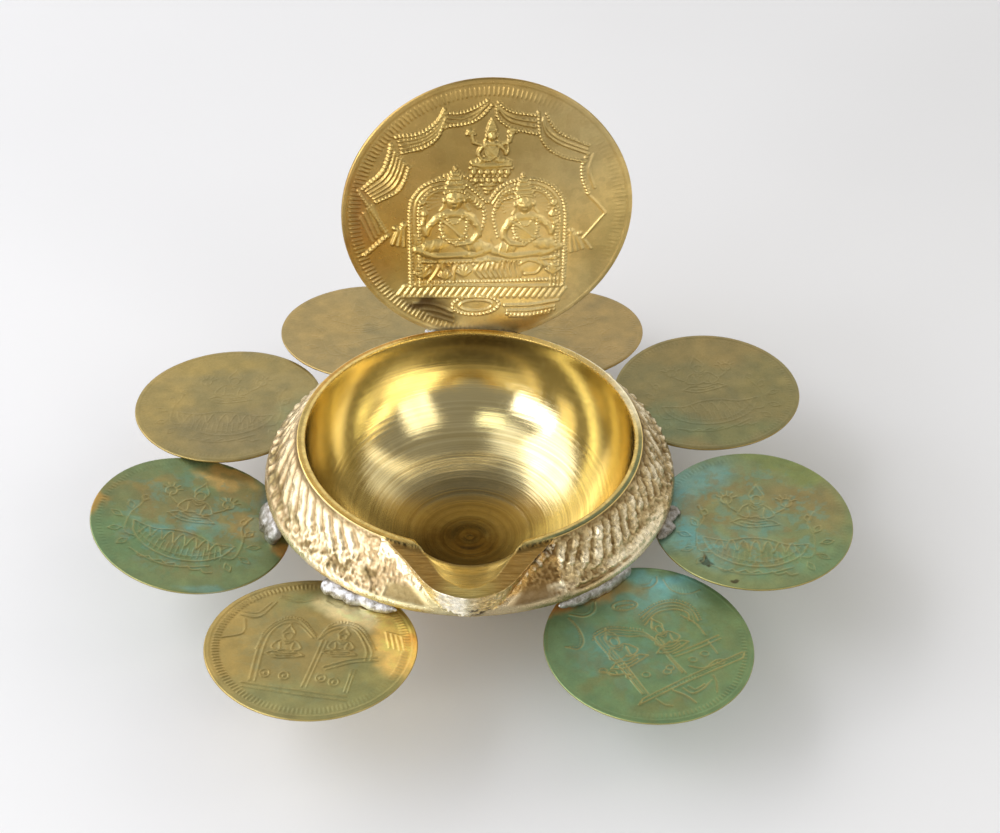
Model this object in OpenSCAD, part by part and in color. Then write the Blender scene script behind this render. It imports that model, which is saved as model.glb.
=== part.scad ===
// Cast oil lamp: a spouted bowl ringed by eight small discs, with a larger disc
// standing upright behind the rim. Beads of solder hold the discs to the bowl.
// Millimetres. Origin at the centre of the foot face, +Z up, spout towards -Y,
// so the front is -Y and the left is -X.

/* [Bowl] */
// Height of the rim above the foot face
rim_h = 29; // [27.5:0.5:31]
// Outer radius of the flat rim
rim_r = 31.9; // [31.8:0.05:32]
// Width of the flat turned land on the rim
rim_land = 1.6; // [1.4:0.1:2]
// Radius of the widest edge of the shoulder flange
flange_r = 38.2; // [37.8:0.1:38.6]
// Height at which the flange edge starts to slope in to the shoulder
flange_z = 20.05; // [20.05:0.05:20.2]
// Thickness of the flange
flange_t = 0.75; // [0.7:0.05:0.8]
// Thickness of the flange at its feathered edge
edge_t = 0.4; // [0.35:0.05:0.5]
// Radius of the flat turned foot
foot_r = 14.5; // [13:0.5:15]
// Height of the bowl floor above the foot face
floor_z = 2.8; // [2.2:0.1:3.2]
// Radius of the flat spot at the bottom of the bowl
floor_r = 4; // [3:0.5:6]
// Thickness of the bowl's wall at its bottom
wall_t = 1.1; // [0.9:0.1:1.6]

/* [Spout] */
// Distance from the bowl axis to the tip of the spout
tip_r = 42.9; // [42:0.1:44]
// Distance from the bowl axis to where the channel starts, at rim height
notch_r = 40.5; // [39.5:0.1:40.8]
// Radius of the channel that the wick lies in
channel_r = 9; // [8:0.25:10]
// Slope of the channel down into the bowl, degrees
channel_slope = 26; // [22:1:30]
// Inward slope of the front of the spout, degrees
prow_slope = 28; // [24:1:30]

/* [Small discs] */
// Diameter of each of the eight small discs
disc_d = 36.5; // [35:0.1:36.6]
// Thickness of the small discs
disc_t = 0.5; // [0.4:0.05:0.55]

/* [Front left disc] */
// Direction from the bowl axis, degrees from +X
front_left_az = -121.6; // [-124:0.2:-120]
// Distance of the disc centre from the bowl axis
front_left_reach = 51.4; // [50.6:0.1:52.4]
// Height of the disc centre
front_left_z = 17.9; // [17.5:0.1:18]
// Droop of the outer edge, degrees
front_left_droop = -5.6; // [-7:0.2:-4]
// Sideways roll, degrees
front_left_roll = -1.6; // [-3:0.2:0]

/* [Front right disc] */
// Direction from the bowl axis, degrees from +X
front_right_az = -53; // [-55:0.2:-52]
// Distance of the disc centre from the bowl axis
front_right_reach = 51.7; // [50.8:0.1:52.4]
// Height of the disc centre
front_right_z = 16.2; // [15.8:0.1:16.4]
// Droop of the outer edge, degrees
front_right_droop = 1.7; // [0:0.1:3]
// Sideways roll, degrees
front_right_roll = 0.1; // [-1:0.1:1]

/* [Left disc] */
// Direction from the bowl axis, degrees from +X
left_az = -166.4; // [-167:0.2:-165]
// Distance of the disc centre from the bowl axis
left_reach = 52.4; // [51.6:0.1:53]
// Height of the disc centre
left_z = 17.3; // [17:0.1:17.4]
// Droop of the outer edge, degrees
left_droop = -10; // [-11:0.5:-9]
// Sideways roll, degrees
left_roll = 1.3; // [0.5:0.1:2]

/* [Right disc] */
// Direction from the bowl axis, degrees from +X
right_az = -13.9; // [-14.6:0.1:-13]
// Distance of the disc centre from the bowl axis
right_reach = 53.3; // [52.4:0.1:54]
// Height of the disc centre
right_z = 19.1; // [18.8:0.1:19.1]
// Droop of the outer edge, degrees
right_droop = -1.4; // [-2.4:0.2:-1]
// Sideways roll, degrees
right_roll = -0.8; // [-1:0.1:0]

/* [Rear left disc] */
// Direction from the bowl axis, degrees from +X
rear_left_az = 155.2; // [154.6:0.2:155.6]
// Distance of the disc centre from the bowl axis
rear_left_reach = 52.1; // [51.8:0.1:53]
// Height of the disc centre
rear_left_z = 17.7; // [17.6:0.1:17.8]
// Droop of the outer edge, degrees
rear_left_droop = 2.8; // [2:0.2:3.2]
// Sideways roll, degrees
rear_left_roll = -2.2; // [-2.6:0.2:-1.6]

/* [Rear right disc] */
// Direction from the bowl axis, degrees from +X
rear_right_az = 28.4; // [26:0.2:28.8]
// Distance of the disc centre from the bowl axis
rear_right_reach = 52.9; // [52:0.1:53.6]
// Height of the disc centre
rear_right_z = 18.7; // [18.2:0.1:18.8]
// Droop of the outer edge, degrees
rear_right_droop = -2.1; // [-3:0.1:-1]
// Sideways roll, degrees
rear_right_roll = 2.2; // [1:0.1:3]

/* [Back left disc] */
// Direction from the bowl axis, degrees from +X
back_left_az = 113.9; // [112:0.1:114]
// Distance of the disc centre from the bowl axis
back_left_reach = 51.1; // [51:0.1:52]
// Height of the disc centre
back_left_z = 16.9; // [16.5:0.1:17]
// Droop of the outer edge, degrees
back_left_droop = 5.4; // [4:0.2:6]
// Sideways roll, degrees
back_left_roll = -3; // [-4:0.2:-2]

/* [Back right disc] */
// Direction from the bowl axis, degrees from +X
back_right_az = 70.3; // [70.2:0.1:72]
// Distance of the disc centre from the bowl axis
back_right_reach = 51.4; // [50.8:0.1:52.4]
// Height of the disc centre
back_right_z = 15; // [14.4:0.1:15.6]
// Droop of the outer edge, degrees
back_right_droop = 4.9; // [3:0.1:6]
// Sideways roll, degrees
back_right_roll = 6.7; // [5:0.1:7]

/* [Back plate] */
// Diameter of the upright disc behind the rim
plate_d = 55.6; // [54:0.1:56]
// Thickness of the upright disc
plate_t = 0.7; // [0.6:0.05:0.8]
// Offset of its centre to the right of the bowl axis
plate_x = 3.1; // [1:0.1:5]
// Offset of its centre behind the bowl axis
plate_y = 35.6; // [35.5:0.1:36.5]
// Height of its centre
plate_z = 53.7; // [53.5:0.1:54.5]
// Backward lean of the upright disc, degrees
plate_lean = 5.9; // [4.5:0.1:7]
// Turn of the upright disc about the vertical, degrees
plate_turn = 4.9; // [3:0.1:6]

/* [Solder] */
// Distance from the bowl axis to the outer edge of the front and side beads
bead_reach = 40.6; // [39.6:0.1:41.4]
// Radius of the bead that holds the upright disc
plate_bead = 1.3; // [1.2:0.1:1.4]

/* [Hidden] */
$fn = 96;

bore_r = rim_r - rim_land;
arc_w = bore_r - floor_r;     // width and height of the wall's rounded profile
arc_h = rim_h - floor_z;
rim_edge = 0.4;               // drop of the rim's rounded edge and the spout top
seat_gap = 0.05;              // room around the upright disc in its groove
rear_reach = bead_reach - 1.6; // reach of the rear and back beads
rear_span = [-8, 8];          // their ends, degrees from the disc's direction

// Columns of a disc's record: direction, reach, height, droop, roll
AZ = 0;
REACH = 1;
HEIGHT = 2;
DROOP = 3;
ROLL = 4;
front_left = [front_left_az, front_left_reach, front_left_z, front_left_droop, front_left_roll];
front_right = [front_right_az, front_right_reach, front_right_z,
               front_right_droop, front_right_roll];
left = [left_az, left_reach, left_z, left_droop, left_roll];
right = [right_az, right_reach, right_z, right_droop, right_roll];
rear_left = [rear_left_az, rear_left_reach, rear_left_z, rear_left_droop, rear_left_roll];
rear_right = [rear_right_az, rear_right_reach, rear_right_z, rear_right_droop, rear_right_roll];
back_left = [back_left_az, back_left_reach, back_left_z, back_left_droop, back_left_roll];
back_right = [back_right_az, back_right_reach, back_right_z, back_right_droop, back_right_roll];

// Setback from the spout's tip, half width there
SPOUT_HALF = [[16, 16.2], [13.8, 14.2], [10.6, 11.8], [6.5, 9.2],
              [3.9, 7.5], [1.9, 5.6], [0.9, 3.8], [0.25, 1.9]];

// Elliptical wall profile between two angles, its lowest point at [r, z]
function wall_arc(r, z, first, last, steps) =
    [for (i = [0:steps]) let (a = first + (last - first) * i / steps)
        [r + arc_w * sin(a), z + arc_h * (1 - cos(a))]];

// Outside of the bowl: foot, rounded wall, thin flange, sloping shoulder
module bowl_outside() {
    arc_r = floor_r + wall_t;
    arc_z = floor_z - wall_t;
    start_r = foot_r + 0.8;
    first = asin((start_r - arc_r) / arc_w);
    last = acos(1 - (flange_z - flange_t - arc_z) / arc_h);
    // [radius, height], from the foot face up to the rim
    foot = [[0, 0], [foot_r - 0.5, 0], [foot_r, 0.5], [foot_r, 1.4], [foot_r - 0.6, 2.4]];
    flange = [[flange_r - 1.8, flange_z - flange_t], [flange_r, flange_z - edge_t],
              [flange_r, flange_z], [flange_r - 0.25, flange_z + 0.7],
              [flange_r - 0.9, flange_z + 1.6]];
    rim = [[rim_r + 1.3, rim_h - 2.5], [rim_r + 0.3, rim_h - 1.1],
           [rim_r, rim_h - rim_edge], [rim_r, rim_h], [0, rim_h]];
    rotate_extrude()
        polygon(concat(foot, wall_arc(arc_r, arc_z, first, last, 12), flange, rim));
}

// Inside of the bowl: rounded from a small flat spot up to the rim
module bowl_inside() {
    top = rim_h + 5;
    rotate_extrude()
        polygon(concat([[0, floor_z]], wall_arc(floor_r, floor_z, 0, 90, 18),
                       [[bore_r, top], [0, top]]));
}

// Plan of the spout, its length scaled so that it is right once it is raked
module spout_plan(scaling) {
    side = [for (p = SPOUT_HALF) [p[1], -(tip_r - p[0]) * scaling]];
    polygon(concat(side, [[0, -tip_r * scaling]],
                   [for (i = [len(side) - 1:-1:0]) [-side[i][0], side[i][1]]]));
}

// Solid spout, raked inwards towards its bottom and cut level at top and bottom
module spout_solid() {
    height = 60;
    bottom = flange_z - 0.3;
    top = rim_h - rim_edge;
    intersection() {
        translate([0, 0, rim_h]) rotate([prow_slope, 0, 0])
            translate([0, 0, -height / 2]) linear_extrude(height)
                spout_plan(cos(prow_slope));
        translate([-20, -50, bottom]) cube([40, 34, top - bottom]);
    }
}

// Round-bottomed channel down through the spout into the bowl
module channel() {
    translate([0, -notch_r + channel_r / sin(channel_slope), rim_h])
        rotate([90 - channel_slope, 0, 0])
            translate([0, 0, -1]) cylinder(r = channel_r, h = 40);
}

// Low tapered nub at the centre of the floor
module floor_nub() {
    translate([0, 0, floor_z - 0.4]) cylinder(r1 = 3.6, r2 = 2.9, h = 0.65);
}

module bowl() {
    color("gold") difference() {
        union() {
            difference() {
                union() {
                    bowl_outside();
                    spout_solid();
                }
                bowl_inside();
            }
            floor_nub();
        }
        channel();
        // groove in the shoulder for the edge of the upright disc
        upright_disc(seat_gap);
    }
}

// Puts a disc's own frame at its place around the bowl
module place(disc) {
    rotate([0, 0, disc[AZ]]) translate([disc[REACH], 0, disc[HEIGHT]])
        rotate([0, disc[DROOP], 0]) rotate([-disc[ROLL], 0, 0]) children();
}

module small_disc(disc, tint) {
    color(tint) place(disc) translate([0, 0, -disc_t / 2]) cylinder(d = disc_d, h = disc_t);
}

// Fillet of solder between a disc's top and the flange.
// span: its two ends, degrees from the disc's direction.
// reach: how far it spreads from the bowl axis.
module solder(disc, span, reach) {
    inner = reach - 4.6;
    // height of the disc at this distance from the bowl axis
    level_r = 37;
    level = disc[HEIGHT] + (disc[REACH] - level_r) * sin(disc[DROOP]);
    // larger than the disc, to clear all the solder below its top
    cut_r = 30;
    cut_h = 12;
    color("silver") difference() {
        rotate([0, 0, disc[AZ] + span[0]]) rotate_extrude(angle = span[1] - span[0])
            polygon([[inner, level - 2], [reach, level - 2], [reach, level + 0.7],
                     [reach - 0.7, level + 1.2],
                     [min(38.9, reach - 1.2), max(flange_z - 0.1, level + 1.6)],
                     [inner, flange_z + 0.15]]);
        place(disc) translate([0, 0, disc_t / 2 - cut_h]) cylinder(r = cut_r, h = cut_h);
        bowl_outside();
    }
}

// The upright disc, or with gap the slightly larger room that it needs
module upright_disc(gap = 0) {
    translate([plate_x, plate_y, plate_z]) rotate([0, 0, plate_turn])
        rotate([90 - plate_lean, 0, 0])
            translate([0, 0, -plate_t / 2 - gap])
                cylinder(d = plate_d + 2 * gap, h = plate_t + 2 * gap, $fn = 128);
}

module disc_front_left() small_disc(front_left, "darkkhaki");
module disc_front_right() small_disc(front_right, "seagreen");
module disc_left() small_disc(left, "darkseagreen");
module disc_right() small_disc(right, "cadetblue");
module disc_rear_left() small_disc(rear_left, "darkkhaki");
module disc_rear_right() small_disc(rear_right, "olive");
module disc_back_left() small_disc(back_left, "goldenrod");
module disc_back_right() small_disc(back_right, "goldenrod");
module back_plate() color("goldenrod") upright_disc();
module solder_front_left() solder(front_left, [-10.5, 13], bead_reach);
module solder_front_right() solder(front_right, [-12, 12.5], bead_reach);
module solder_left() solder(left, [-1.5, 14], bead_reach);
module solder_right() solder(right, [-13.5, 0], bead_reach);
module solder_rear_left() solder(rear_left, rear_span, rear_reach);
module solder_rear_right() solder(rear_right, rear_span, rear_reach);
module solder_back_left() solder(back_left, rear_span, rear_reach);
module solder_back_right() solder(back_right, rear_span, rear_reach);

// Bead along the foot of the upright disc, on the shoulder just behind the rim
module solder_back_plate() {
    start_az = 72;
    sweep = 34;
    color("silver") difference() {
        rotate([0, 0, start_az]) rotate_extrude(angle = sweep)
            translate([rim_r + 1.15, rim_h - 1.25]) circle(r = plate_bead, $fn = 32);
        upright_disc();
        bowl_outside();
    }
}

bowl();
disc_front_left();
disc_front_right();
disc_left();
disc_right();
disc_rear_left();
disc_rear_right();
disc_back_left();
disc_back_right();
back_plate();
solder_front_left();
solder_front_right();
solder_left();
solder_right();
solder_rear_left();
solder_rear_right();
solder_back_left();
solder_back_right();
solder_back_plate();
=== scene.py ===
"""Cast brass bowl with a spout, eight stamped discs soldered under its flange and a larger
stamped plate standing at its back.

The bowl stands on z = 0 with its axis on Z. The spout points to -Y, and +X is on its right.
Shapes are worked out in millimetres and built in metres.
"""
import math
import bpy
import numpy as np
from mathutils import Matrix, Vector


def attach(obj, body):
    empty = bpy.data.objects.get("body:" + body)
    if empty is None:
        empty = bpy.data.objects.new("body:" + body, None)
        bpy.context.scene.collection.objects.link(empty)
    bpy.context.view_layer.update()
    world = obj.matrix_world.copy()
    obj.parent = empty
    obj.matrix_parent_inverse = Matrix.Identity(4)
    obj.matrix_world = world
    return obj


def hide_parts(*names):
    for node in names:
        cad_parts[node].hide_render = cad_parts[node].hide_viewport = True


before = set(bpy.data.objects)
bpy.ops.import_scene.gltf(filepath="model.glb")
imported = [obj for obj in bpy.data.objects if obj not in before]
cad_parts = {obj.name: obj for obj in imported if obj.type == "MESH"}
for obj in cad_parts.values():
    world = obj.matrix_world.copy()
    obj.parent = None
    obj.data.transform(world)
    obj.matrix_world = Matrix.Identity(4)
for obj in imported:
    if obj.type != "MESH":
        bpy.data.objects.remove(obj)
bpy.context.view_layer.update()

MM = .001
DEG = math.pi/180


# ----------------------------------------------------------------- numbers
def srgb(r, g, b):
    """Linear colour of an sRGB colour given in 0-255."""
    c = np.array([r, g, b])/255
    return np.where(c <= .04045, c/12.92, ((c + .055)/1.055)**2.4)


def coat(colour, amount, rgb):
    """Linear colours covered with an sRGB colour by amount, 0-1."""
    amount = np.clip(amount, 0, 1)[..., None]
    return colour*(1 - amount) + srgb(*rgb)*amount


def ease(a, b, x):
    """Smooth step from 0 at a to 1 at b; a may be the larger."""
    t = np.clip((x - a)/(b - a), 0, 1)
    return t*t*(3 - 2*t)


def band(x, a, b, c, d):
    """Rises from a to b, stays at 1, falls from c to d."""
    return ease(a, b, x)*ease(d, c, x)


def bell(x, centre, width):
    return np.exp(-((x - centre)/width)**2)


def between(x, a, b):
    return (x > a)*(x < b)


def points(x, y, z=0.0):
    return np.stack(np.broadcast_arrays(x, y, z), -1)


def lattice(x, y, z, seed):
    """Random value in 0-1 for each whole-number position."""
    n = (x*374761393 + y*668265263 + z*1440662683 + seed*1274126177) & 0xFFFFFFFF
    n = ((n ^ (n >> 13))*1274126177) & 0xFFFFFFFF
    n = ((n ^ (n >> 15))*2246822519) & 0xFFFFFFFF
    return ((n ^ (n >> 16)) & 0xFFFFFF)/float(0xFFFFFF)


def noise(p, seed=0):
    """Value noise in 0-1 at points p (..., 3)."""
    i = np.floor(p).astype(np.int64)
    f = p - i
    f = f*f*f*(f*(f*6 - 15) + 10)
    total = 0.0
    for dx in (0, 1):
        wx = f[..., 0] if dx else 1 - f[..., 0]
        for dy in (0, 1):
            wy = f[..., 1] if dy else 1 - f[..., 1]
            for dz in (0, 1):
                wz = f[..., 2] if dz else 1 - f[..., 2]
                value = lattice(i[..., 0] + dx, i[..., 1] + dy, i[..., 2] + dz, seed)
                total = total + wx*wy*wz*value
    return total


def fractal(p, octaves, seed=0, gain=.5):
    """Octaves of value noise, each finer and weaker, scaled back to 0-1."""
    weight, total, weights = 1.0, 0.0, 0.0
    for k in range(octaves):
        total = total + weight*noise(p, seed + 17*k)
        weights += weight
        weight *= gain
        p = p*2.03 + 11.7
    return total/weights


def pebble(x, y, seed, size=.62):
    """Close-packed little domes: height 0-1 at (x, y), one dome a unit cell."""
    ix, iy = np.floor(x).astype(np.int64), np.floor(y).astype(np.int64)
    best = np.full(x.shape, 9.0)
    radius = np.full(x.shape, 1.0)
    for dx in (-1, 0, 1):
        for dy in (-1, 0, 1):
            cx, cy = ix + dx, iy + dy
            px = cx + .5 + .7*(lattice(cx, cy, 0, seed) - .5)
            py = cy + .5 + .7*(lattice(cx, cy, 1, seed) - .5)
            r = size*(.6 + .6*lattice(cx, cy, 2, seed))
            d = np.hypot(x - px, y - py)/r
            better = d < best
            best = np.where(better, d, best)
            radius = np.where(better, r, radius)
    return np.sqrt(np.clip(1 - best*best, 0, 1))*radius/size


def spline(stations, per=8):
    """Catmull-Rom curve through the stations, per points to each span."""
    p = np.asarray(stations, float)
    p = np.concatenate([[2*p[0] - p[1]], p, [2*p[-1] - p[-2]]])
    t = np.linspace(0, 1, per, endpoint=False)[:, None]
    spans = [.5*(2*b + (c - a)*t + (2*a - 5*b + 4*c - d)*t*t + (3*b - a - 3*c + d)*t**3)
             for a, b, c, d in zip(p, p[1:], p[2:], p[3:])]
    return np.concatenate(spans + [p[-2:-1]])


def lengths(path):
    """Distance along a path at each of its points."""
    return np.concatenate([[0], np.cumsum(np.hypot(*np.diff(path, axis=0).T))])


def ellipse(dx, dy, rx, ry, turn):
    """Squared distance from an ellipse's centre, 1 on its edge; turn in degrees."""
    c, s = math.cos(turn*DEG), math.sin(turn*DEG)
    return ((dx*c + dy*s)/rx)**2 + ((dy*c - dx*s)/ry)**2


# ------------------------------------------------------------------ meshes
def build_mesh(name, verts, quads, tris, parts=None):
    """Smooth mesh from vertices in mm; parts are the faces' material indices."""
    me = bpy.data.meshes.new(name)
    me.vertices.add(len(verts))
    me.vertices.foreach_set("co", np.asarray(verts*MM, dtype=np.float32).ravel())
    corners = np.concatenate([quads.ravel(), tris.ravel()]).astype(np.int32)
    starts = np.concatenate([np.arange(len(quads))*4, np.arange(len(tris))*3 + quads.size])
    me.loops.add(len(corners))
    me.loops.foreach_set("vertex_index", corners)
    me.polygons.add(len(starts))
    me.polygons.foreach_set("loop_start", starts.astype(np.int32))
    me.polygons.foreach_set("use_smooth", np.ones(len(starts), dtype=bool))
    if parts is not None:
        me.polygons.foreach_set("material_index", parts.astype(np.int32))
    me.update(calc_edges=True)
    me.validate()
    ob = bpy.data.objects.new(name, me)
    bpy.context.scene.collection.objects.link(ob)
    return ob


def tube_faces(rows, columns):
    """Faces of a closed tube; its two end vertices come last."""
    j = np.arange(columns)
    j1 = (j + 1) % columns
    start = np.arange(rows - 1)[:, None]*columns
    a, b = (start + j).ravel(), (start + j1).ravel()
    quads = np.stack([a, a + columns, b + columns, b], -1)
    last, first_end = (rows - 1)*columns, rows*columns
    tris = np.concatenate([np.stack([np.full(columns, first_end), j, j1], -1),
                           np.stack([np.full(columns, first_end + 1), last + j1, last + j], -1)])
    return quads, tris


def add_float(ob, name, values):
    attribute = ob.data.attributes.new(name, "FLOAT", "POINT")
    attribute.data.foreach_set("value", np.ascontiguousarray(values, dtype=np.float32))


def add_tint(ob, rgb):
    attribute = ob.data.color_attributes.new("tint", "FLOAT_COLOR", "POINT")
    rgba = np.ones((len(rgb), 4), dtype=np.float32)
    rgba[:, :3] = np.clip(rgb, 0, 1)
    attribute.data.foreach_set("color", rgba.ravel())


def finish_piece(ob, node, slot, *materials):
    for material in materials:
        ob.data.materials.append(material)
    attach(ob, "root")
    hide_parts(node)


# --------------------------------------------------------------- materials
class Nodes:
    """Short ways to add shader nodes to a tree."""

    def __init__(self, tree):
        self.tree = tree
        tree.nodes.clear()

    def add(self, kind, inputs=None, **props):
        node = self.tree.nodes.new("ShaderNode" + kind)
        for key, value in props.items():
            setattr(node, key, value)
        for key, value in (inputs or {}).items():
            self.put(node.inputs[key], value)
        return node

    def out(self, kind, inputs=None, output=0, **props):
        return self.add(kind, inputs, **props).outputs[output]

    def put(self, socket, value):
        if isinstance(value, bpy.types.NodeSocket):
            self.tree.links.new(value, socket)
        elif isinstance(value, (tuple, np.ndarray)):
            value = [float(x) for x in value]
            if socket.type == "RGBA" and len(value) == 3:
                value.append(1.0)
            socket.default_value = value
        else:
            socket.default_value = value

    def math(self, operation, a, b=0):
        return self.out("Math", {0: a, 1: b}, operation=operation)

    def plus(self, a, b):
        return self.math("ADD", a, b)

    def times(self, a, b):
        return self.math("MULTIPLY", a, b)

    def stretch(self, vector, by):
        return self.out("VectorMath", {0: vector, 1: by}, operation="MULTIPLY")

    def mix(self, colour, amount, over, blend="MIX"):
        return self.out("Mix", {0: amount, 6: colour, 7: over}, 2,
                        data_type="RGBA", blend_type=blend)

    def dye(self, colour, amount, by):
        """Colour multiplied by another where amount is 1."""
        return self.mix(colour, amount, self.mix(colour, 1, by, "MULTIPLY"))

    def noise(self, vector, scale, detail, rough):
        return self.out("TexNoise", {"Vector": vector, "Scale": scale, "Detail": detail,
                                     "Roughness": rough})

    def remap(self, value, to=(0, 1), span=(.3, .7), **props):
        return self.out("MapRange", {0: value, 1: span[0], 2: span[1], 3: to[0], 4: to[1]},
                        **props)

    def ramp(self, value, stops):
        node = self.add("ValToRGB", {0: value})
        elements = node.color_ramp.elements
        while len(elements) < len(stops):
            elements.new(.5)
        for element, (position, colour) in zip(elements, stops):
            element.position = position
            element.color = [float(x) for x in colour] + [1.0]
        return node.outputs[0]


class Shader(Nodes):
    """A principled material; place is the object's own position in millimetres."""

    def __init__(self, name):
        self.material = bpy.data.materials.new(name)
        self.material.use_nodes = True
        super().__init__(self.material.node_tree)
        self.principled = self.add("BsdfPrincipled")
        self.add("OutputMaterial", {0: self.principled.outputs[0]})
        self.object_place = self.out("TexCoord", output=3)

    def place(self):
        return self.stretch(self.object_place, (1000, 1000, 1000))

    def attribute(self, name, output="Fac"):
        return self.out("Attribute", output=output, attribute_name=name)

    def bump(self, height, strength, depth):
        """Bump normal, depth in millimetres."""
        return self.out("Bump", {"Height": height, "Strength": strength, "Distance": depth*MM})

    def finish(self, **inputs):
        for key, value in inputs.items():
            self.put(self.principled.inputs[key.replace("_", " ")], value)
        return self.material


def sheet_material():
    """Stamped brass sheet: each disc's own tint and tarnish, mottled, specked and scratched."""
    m = Shader("stamped_sheet")
    place = m.place()
    tint = m.attribute("tint", "Color")
    tarnish = m.attribute("tarnish")
    broad = m.noise(place, scale=.55, detail=5, rough=.62)
    middle = m.noise(place, scale=2.6, detail=4, rough=.6)
    fine = m.noise(place, scale=9, detail=3, rough=.6)
    cells = m.out("TexVoronoi", {"Vector": place, "Scale": 1.7})
    scratches = m.noise(m.stretch(place, (.35, 7, 1)), scale=1, detail=2, rough=.6)
    brown = m.mix(tint, .5, srgb(140, 118, 66))
    colour = m.mix(tint, m.remap(broad, span=(.32, .7), to=(0, .34)), brown)
    colour = m.dye(colour, m.remap(middle, span=(.35, .72), to=(0, .3)), by=(.72, .8, .74))
    colour = m.mix(colour, m.remap(fine, span=(.58, .8), to=(0, .25)), srgb(190, 178, 126))
    specks = m.times(m.remap(cells, span=(.1, .05)), m.remap(middle, span=(.56, .62), to=(0, .55)))
    colour = m.mix(colour, specks, srgb(60, 52, 34))
    dimming = m.times(tarnish, m.remap(broad, to=(1.1, .8)))
    rough = m.plus(m.remap(tarnish, span=(0, 1), to=(.27, .46)), m.remap(middle, to=(-.05, .09)))
    height = m.plus(m.times(fine, .7), m.plus(m.times(scratches, .35), m.times(middle, .5)))
    return m.finish(
        Base_Color=colour,
        Metallic=m.remap(dimming, span=(0, 1), to=(1, .55)),
        Roughness=m.plus(rough, m.remap(fine, to=(-.03, .04))),
        Normal=m.bump(height, strength=.32, depth=.05))


def cast_material():
    """Cast brass: worn pale on high places with a painted highlight, brown in the hollows with
    painted shade, grainy, and a painted glint.
    """
    m = Shader("cast_brass")
    place = m.place()
    tint = m.attribute("tint", "Color")
    relief = m.attribute("relief")
    worn = m.attribute("worn")
    broad = m.noise(place, scale=.5, detail=4, rough=.6)
    middle = m.noise(place, scale=2.2, detail=5, rough=.62)
    fine = m.noise(place, scale=7.5, detail=3, rough=.6)
    # darker in the hollows: brown grime there, deepened into painted shade
    hollow = m.remap(m.plus(relief, m.times(middle, .22)), span=(.12, .42), to=(1, 0))
    # painted highlight: near-white on the high places, over their wear
    high = m.remap(m.plus(relief, m.times(middle, .2)), span=(.5, .85), to=(0, .65))
    colour = m.dye(tint, m.times(hollow, .78), by=(.36, .27, .15))
    colour = m.mix(colour, high, srgb(255, 243, 212))
    colour = m.dye(colour, m.remap(broad, span=(.4, .7), to=(0, .35)), by=(.8, .72, .55))
    colour = m.dye(colour, m.remap(fine, span=(.6, .8), to=(0, .5)), by=(.45, .38, .26))
    return m.finish(
        # painted glint: near-white and less metallic on the spout's front
        Base_Color=m.mix(colour, worn, srgb(255, 248, 228)),
        Metallic=m.math("SUBTRACT", .92, m.times(worn, .7)),
        Roughness=m.plus(m.remap(middle, to=(.22, .38)), m.times(hollow, .16)),
        Normal=m.bump(m.plus(m.times(middle, 1), m.times(fine, .55)), strength=.55, depth=.11))


def rim_material():
    """Turned flat of the rim, mottled over its painted tint."""
    m = Shader("rim_land")
    place = m.place()
    tint = m.attribute("tint", "Color")
    broad = m.noise(place, scale=.7, detail=5, rough=.65)
    fine = m.noise(place, scale=4.5, detail=3, rough=.6)
    return m.finish(
        Base_Color=m.dye(tint, m.remap(broad, span=(.38, .68), to=(0, .6)), by=(.62, .6, .48)),
        Metallic=.95,
        Roughness=m.remap(broad, to=(.16, .34)),
        Normal=m.bump(fine, strength=.25, depth=.04))


def filed_material():
    """Spout top and channel, filed across the spout."""
    m = Shader("filed_brass")
    place = m.place()
    tint = m.attribute("tint", "Color")
    across = m.stretch(place, (.22, 3.2, .6))
    strokes = m.noise(across, scale=1, detail=4, rough=.65)
    hairs = m.noise(across, scale=3.1, detail=3, rough=.6)
    broad = m.noise(place, scale=.6, detail=3, rough=.5)
    colour = m.dye(tint, m.remap(strokes, span=(.32, .68), to=(0, .85)), by=(.48, .4, .26))
    colour = m.dye(colour, m.remap(broad, span=(.4, .7), to=(0, .35)), by=(1.25, 1.12, .8))
    return m.finish(
        Base_Color=colour,
        Metallic=1,
        Roughness=m.remap(strokes, to=(.24, .42)),
        Normal=m.bump(m.plus(strokes, m.times(hairs, .4)), strength=.5, depth=.07))


def solder_material():
    """Soft solder: dull silver with grey and brown stains, with painted shade where its light level
    is low and a painted highlight where it is high.
    """
    m = Shader("soft_solder")
    place = m.place()
    broad = m.noise(place, scale=.8, detail=4, rough=.6)
    fine = m.noise(place, scale=3.6, detail=4, rough=.65)
    bright = m.attribute("bright")
    colour = m.ramp(broad, [(.3, srgb(120, 112, 98)), (.48, srgb(176, 172, 164)),
                            (.66, srgb(222, 220, 218))])
    colour = m.mix(colour, m.remap(fine, span=(.55, .74), to=(0, .55)), srgb(112, 94, 66))
    # painted shade: darker brown-grey where the bead's light level is low
    dimming = m.times(m.math("SUBTRACT", 1, bright), .72)
    colour = m.mix(colour, dimming, srgb(92, 82, 64))
    # painted highlight: near-white silver where the bead's light level is high
    painted_highlight = m.times(m.remap(bright, span=(.85, 1)), m.remap(broad, span=(.38, .56), to=(0, .8)))
    return m.finish(
        Base_Color=m.mix(colour, painted_highlight, srgb(222, 224, 232)),
        Metallic=.9,
        Roughness=m.remap(fine, to=(.22, .46)),
        Normal=m.bump(m.plus(fine, m.times(broad, .5)), strength=.85, depth=.14))


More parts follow.
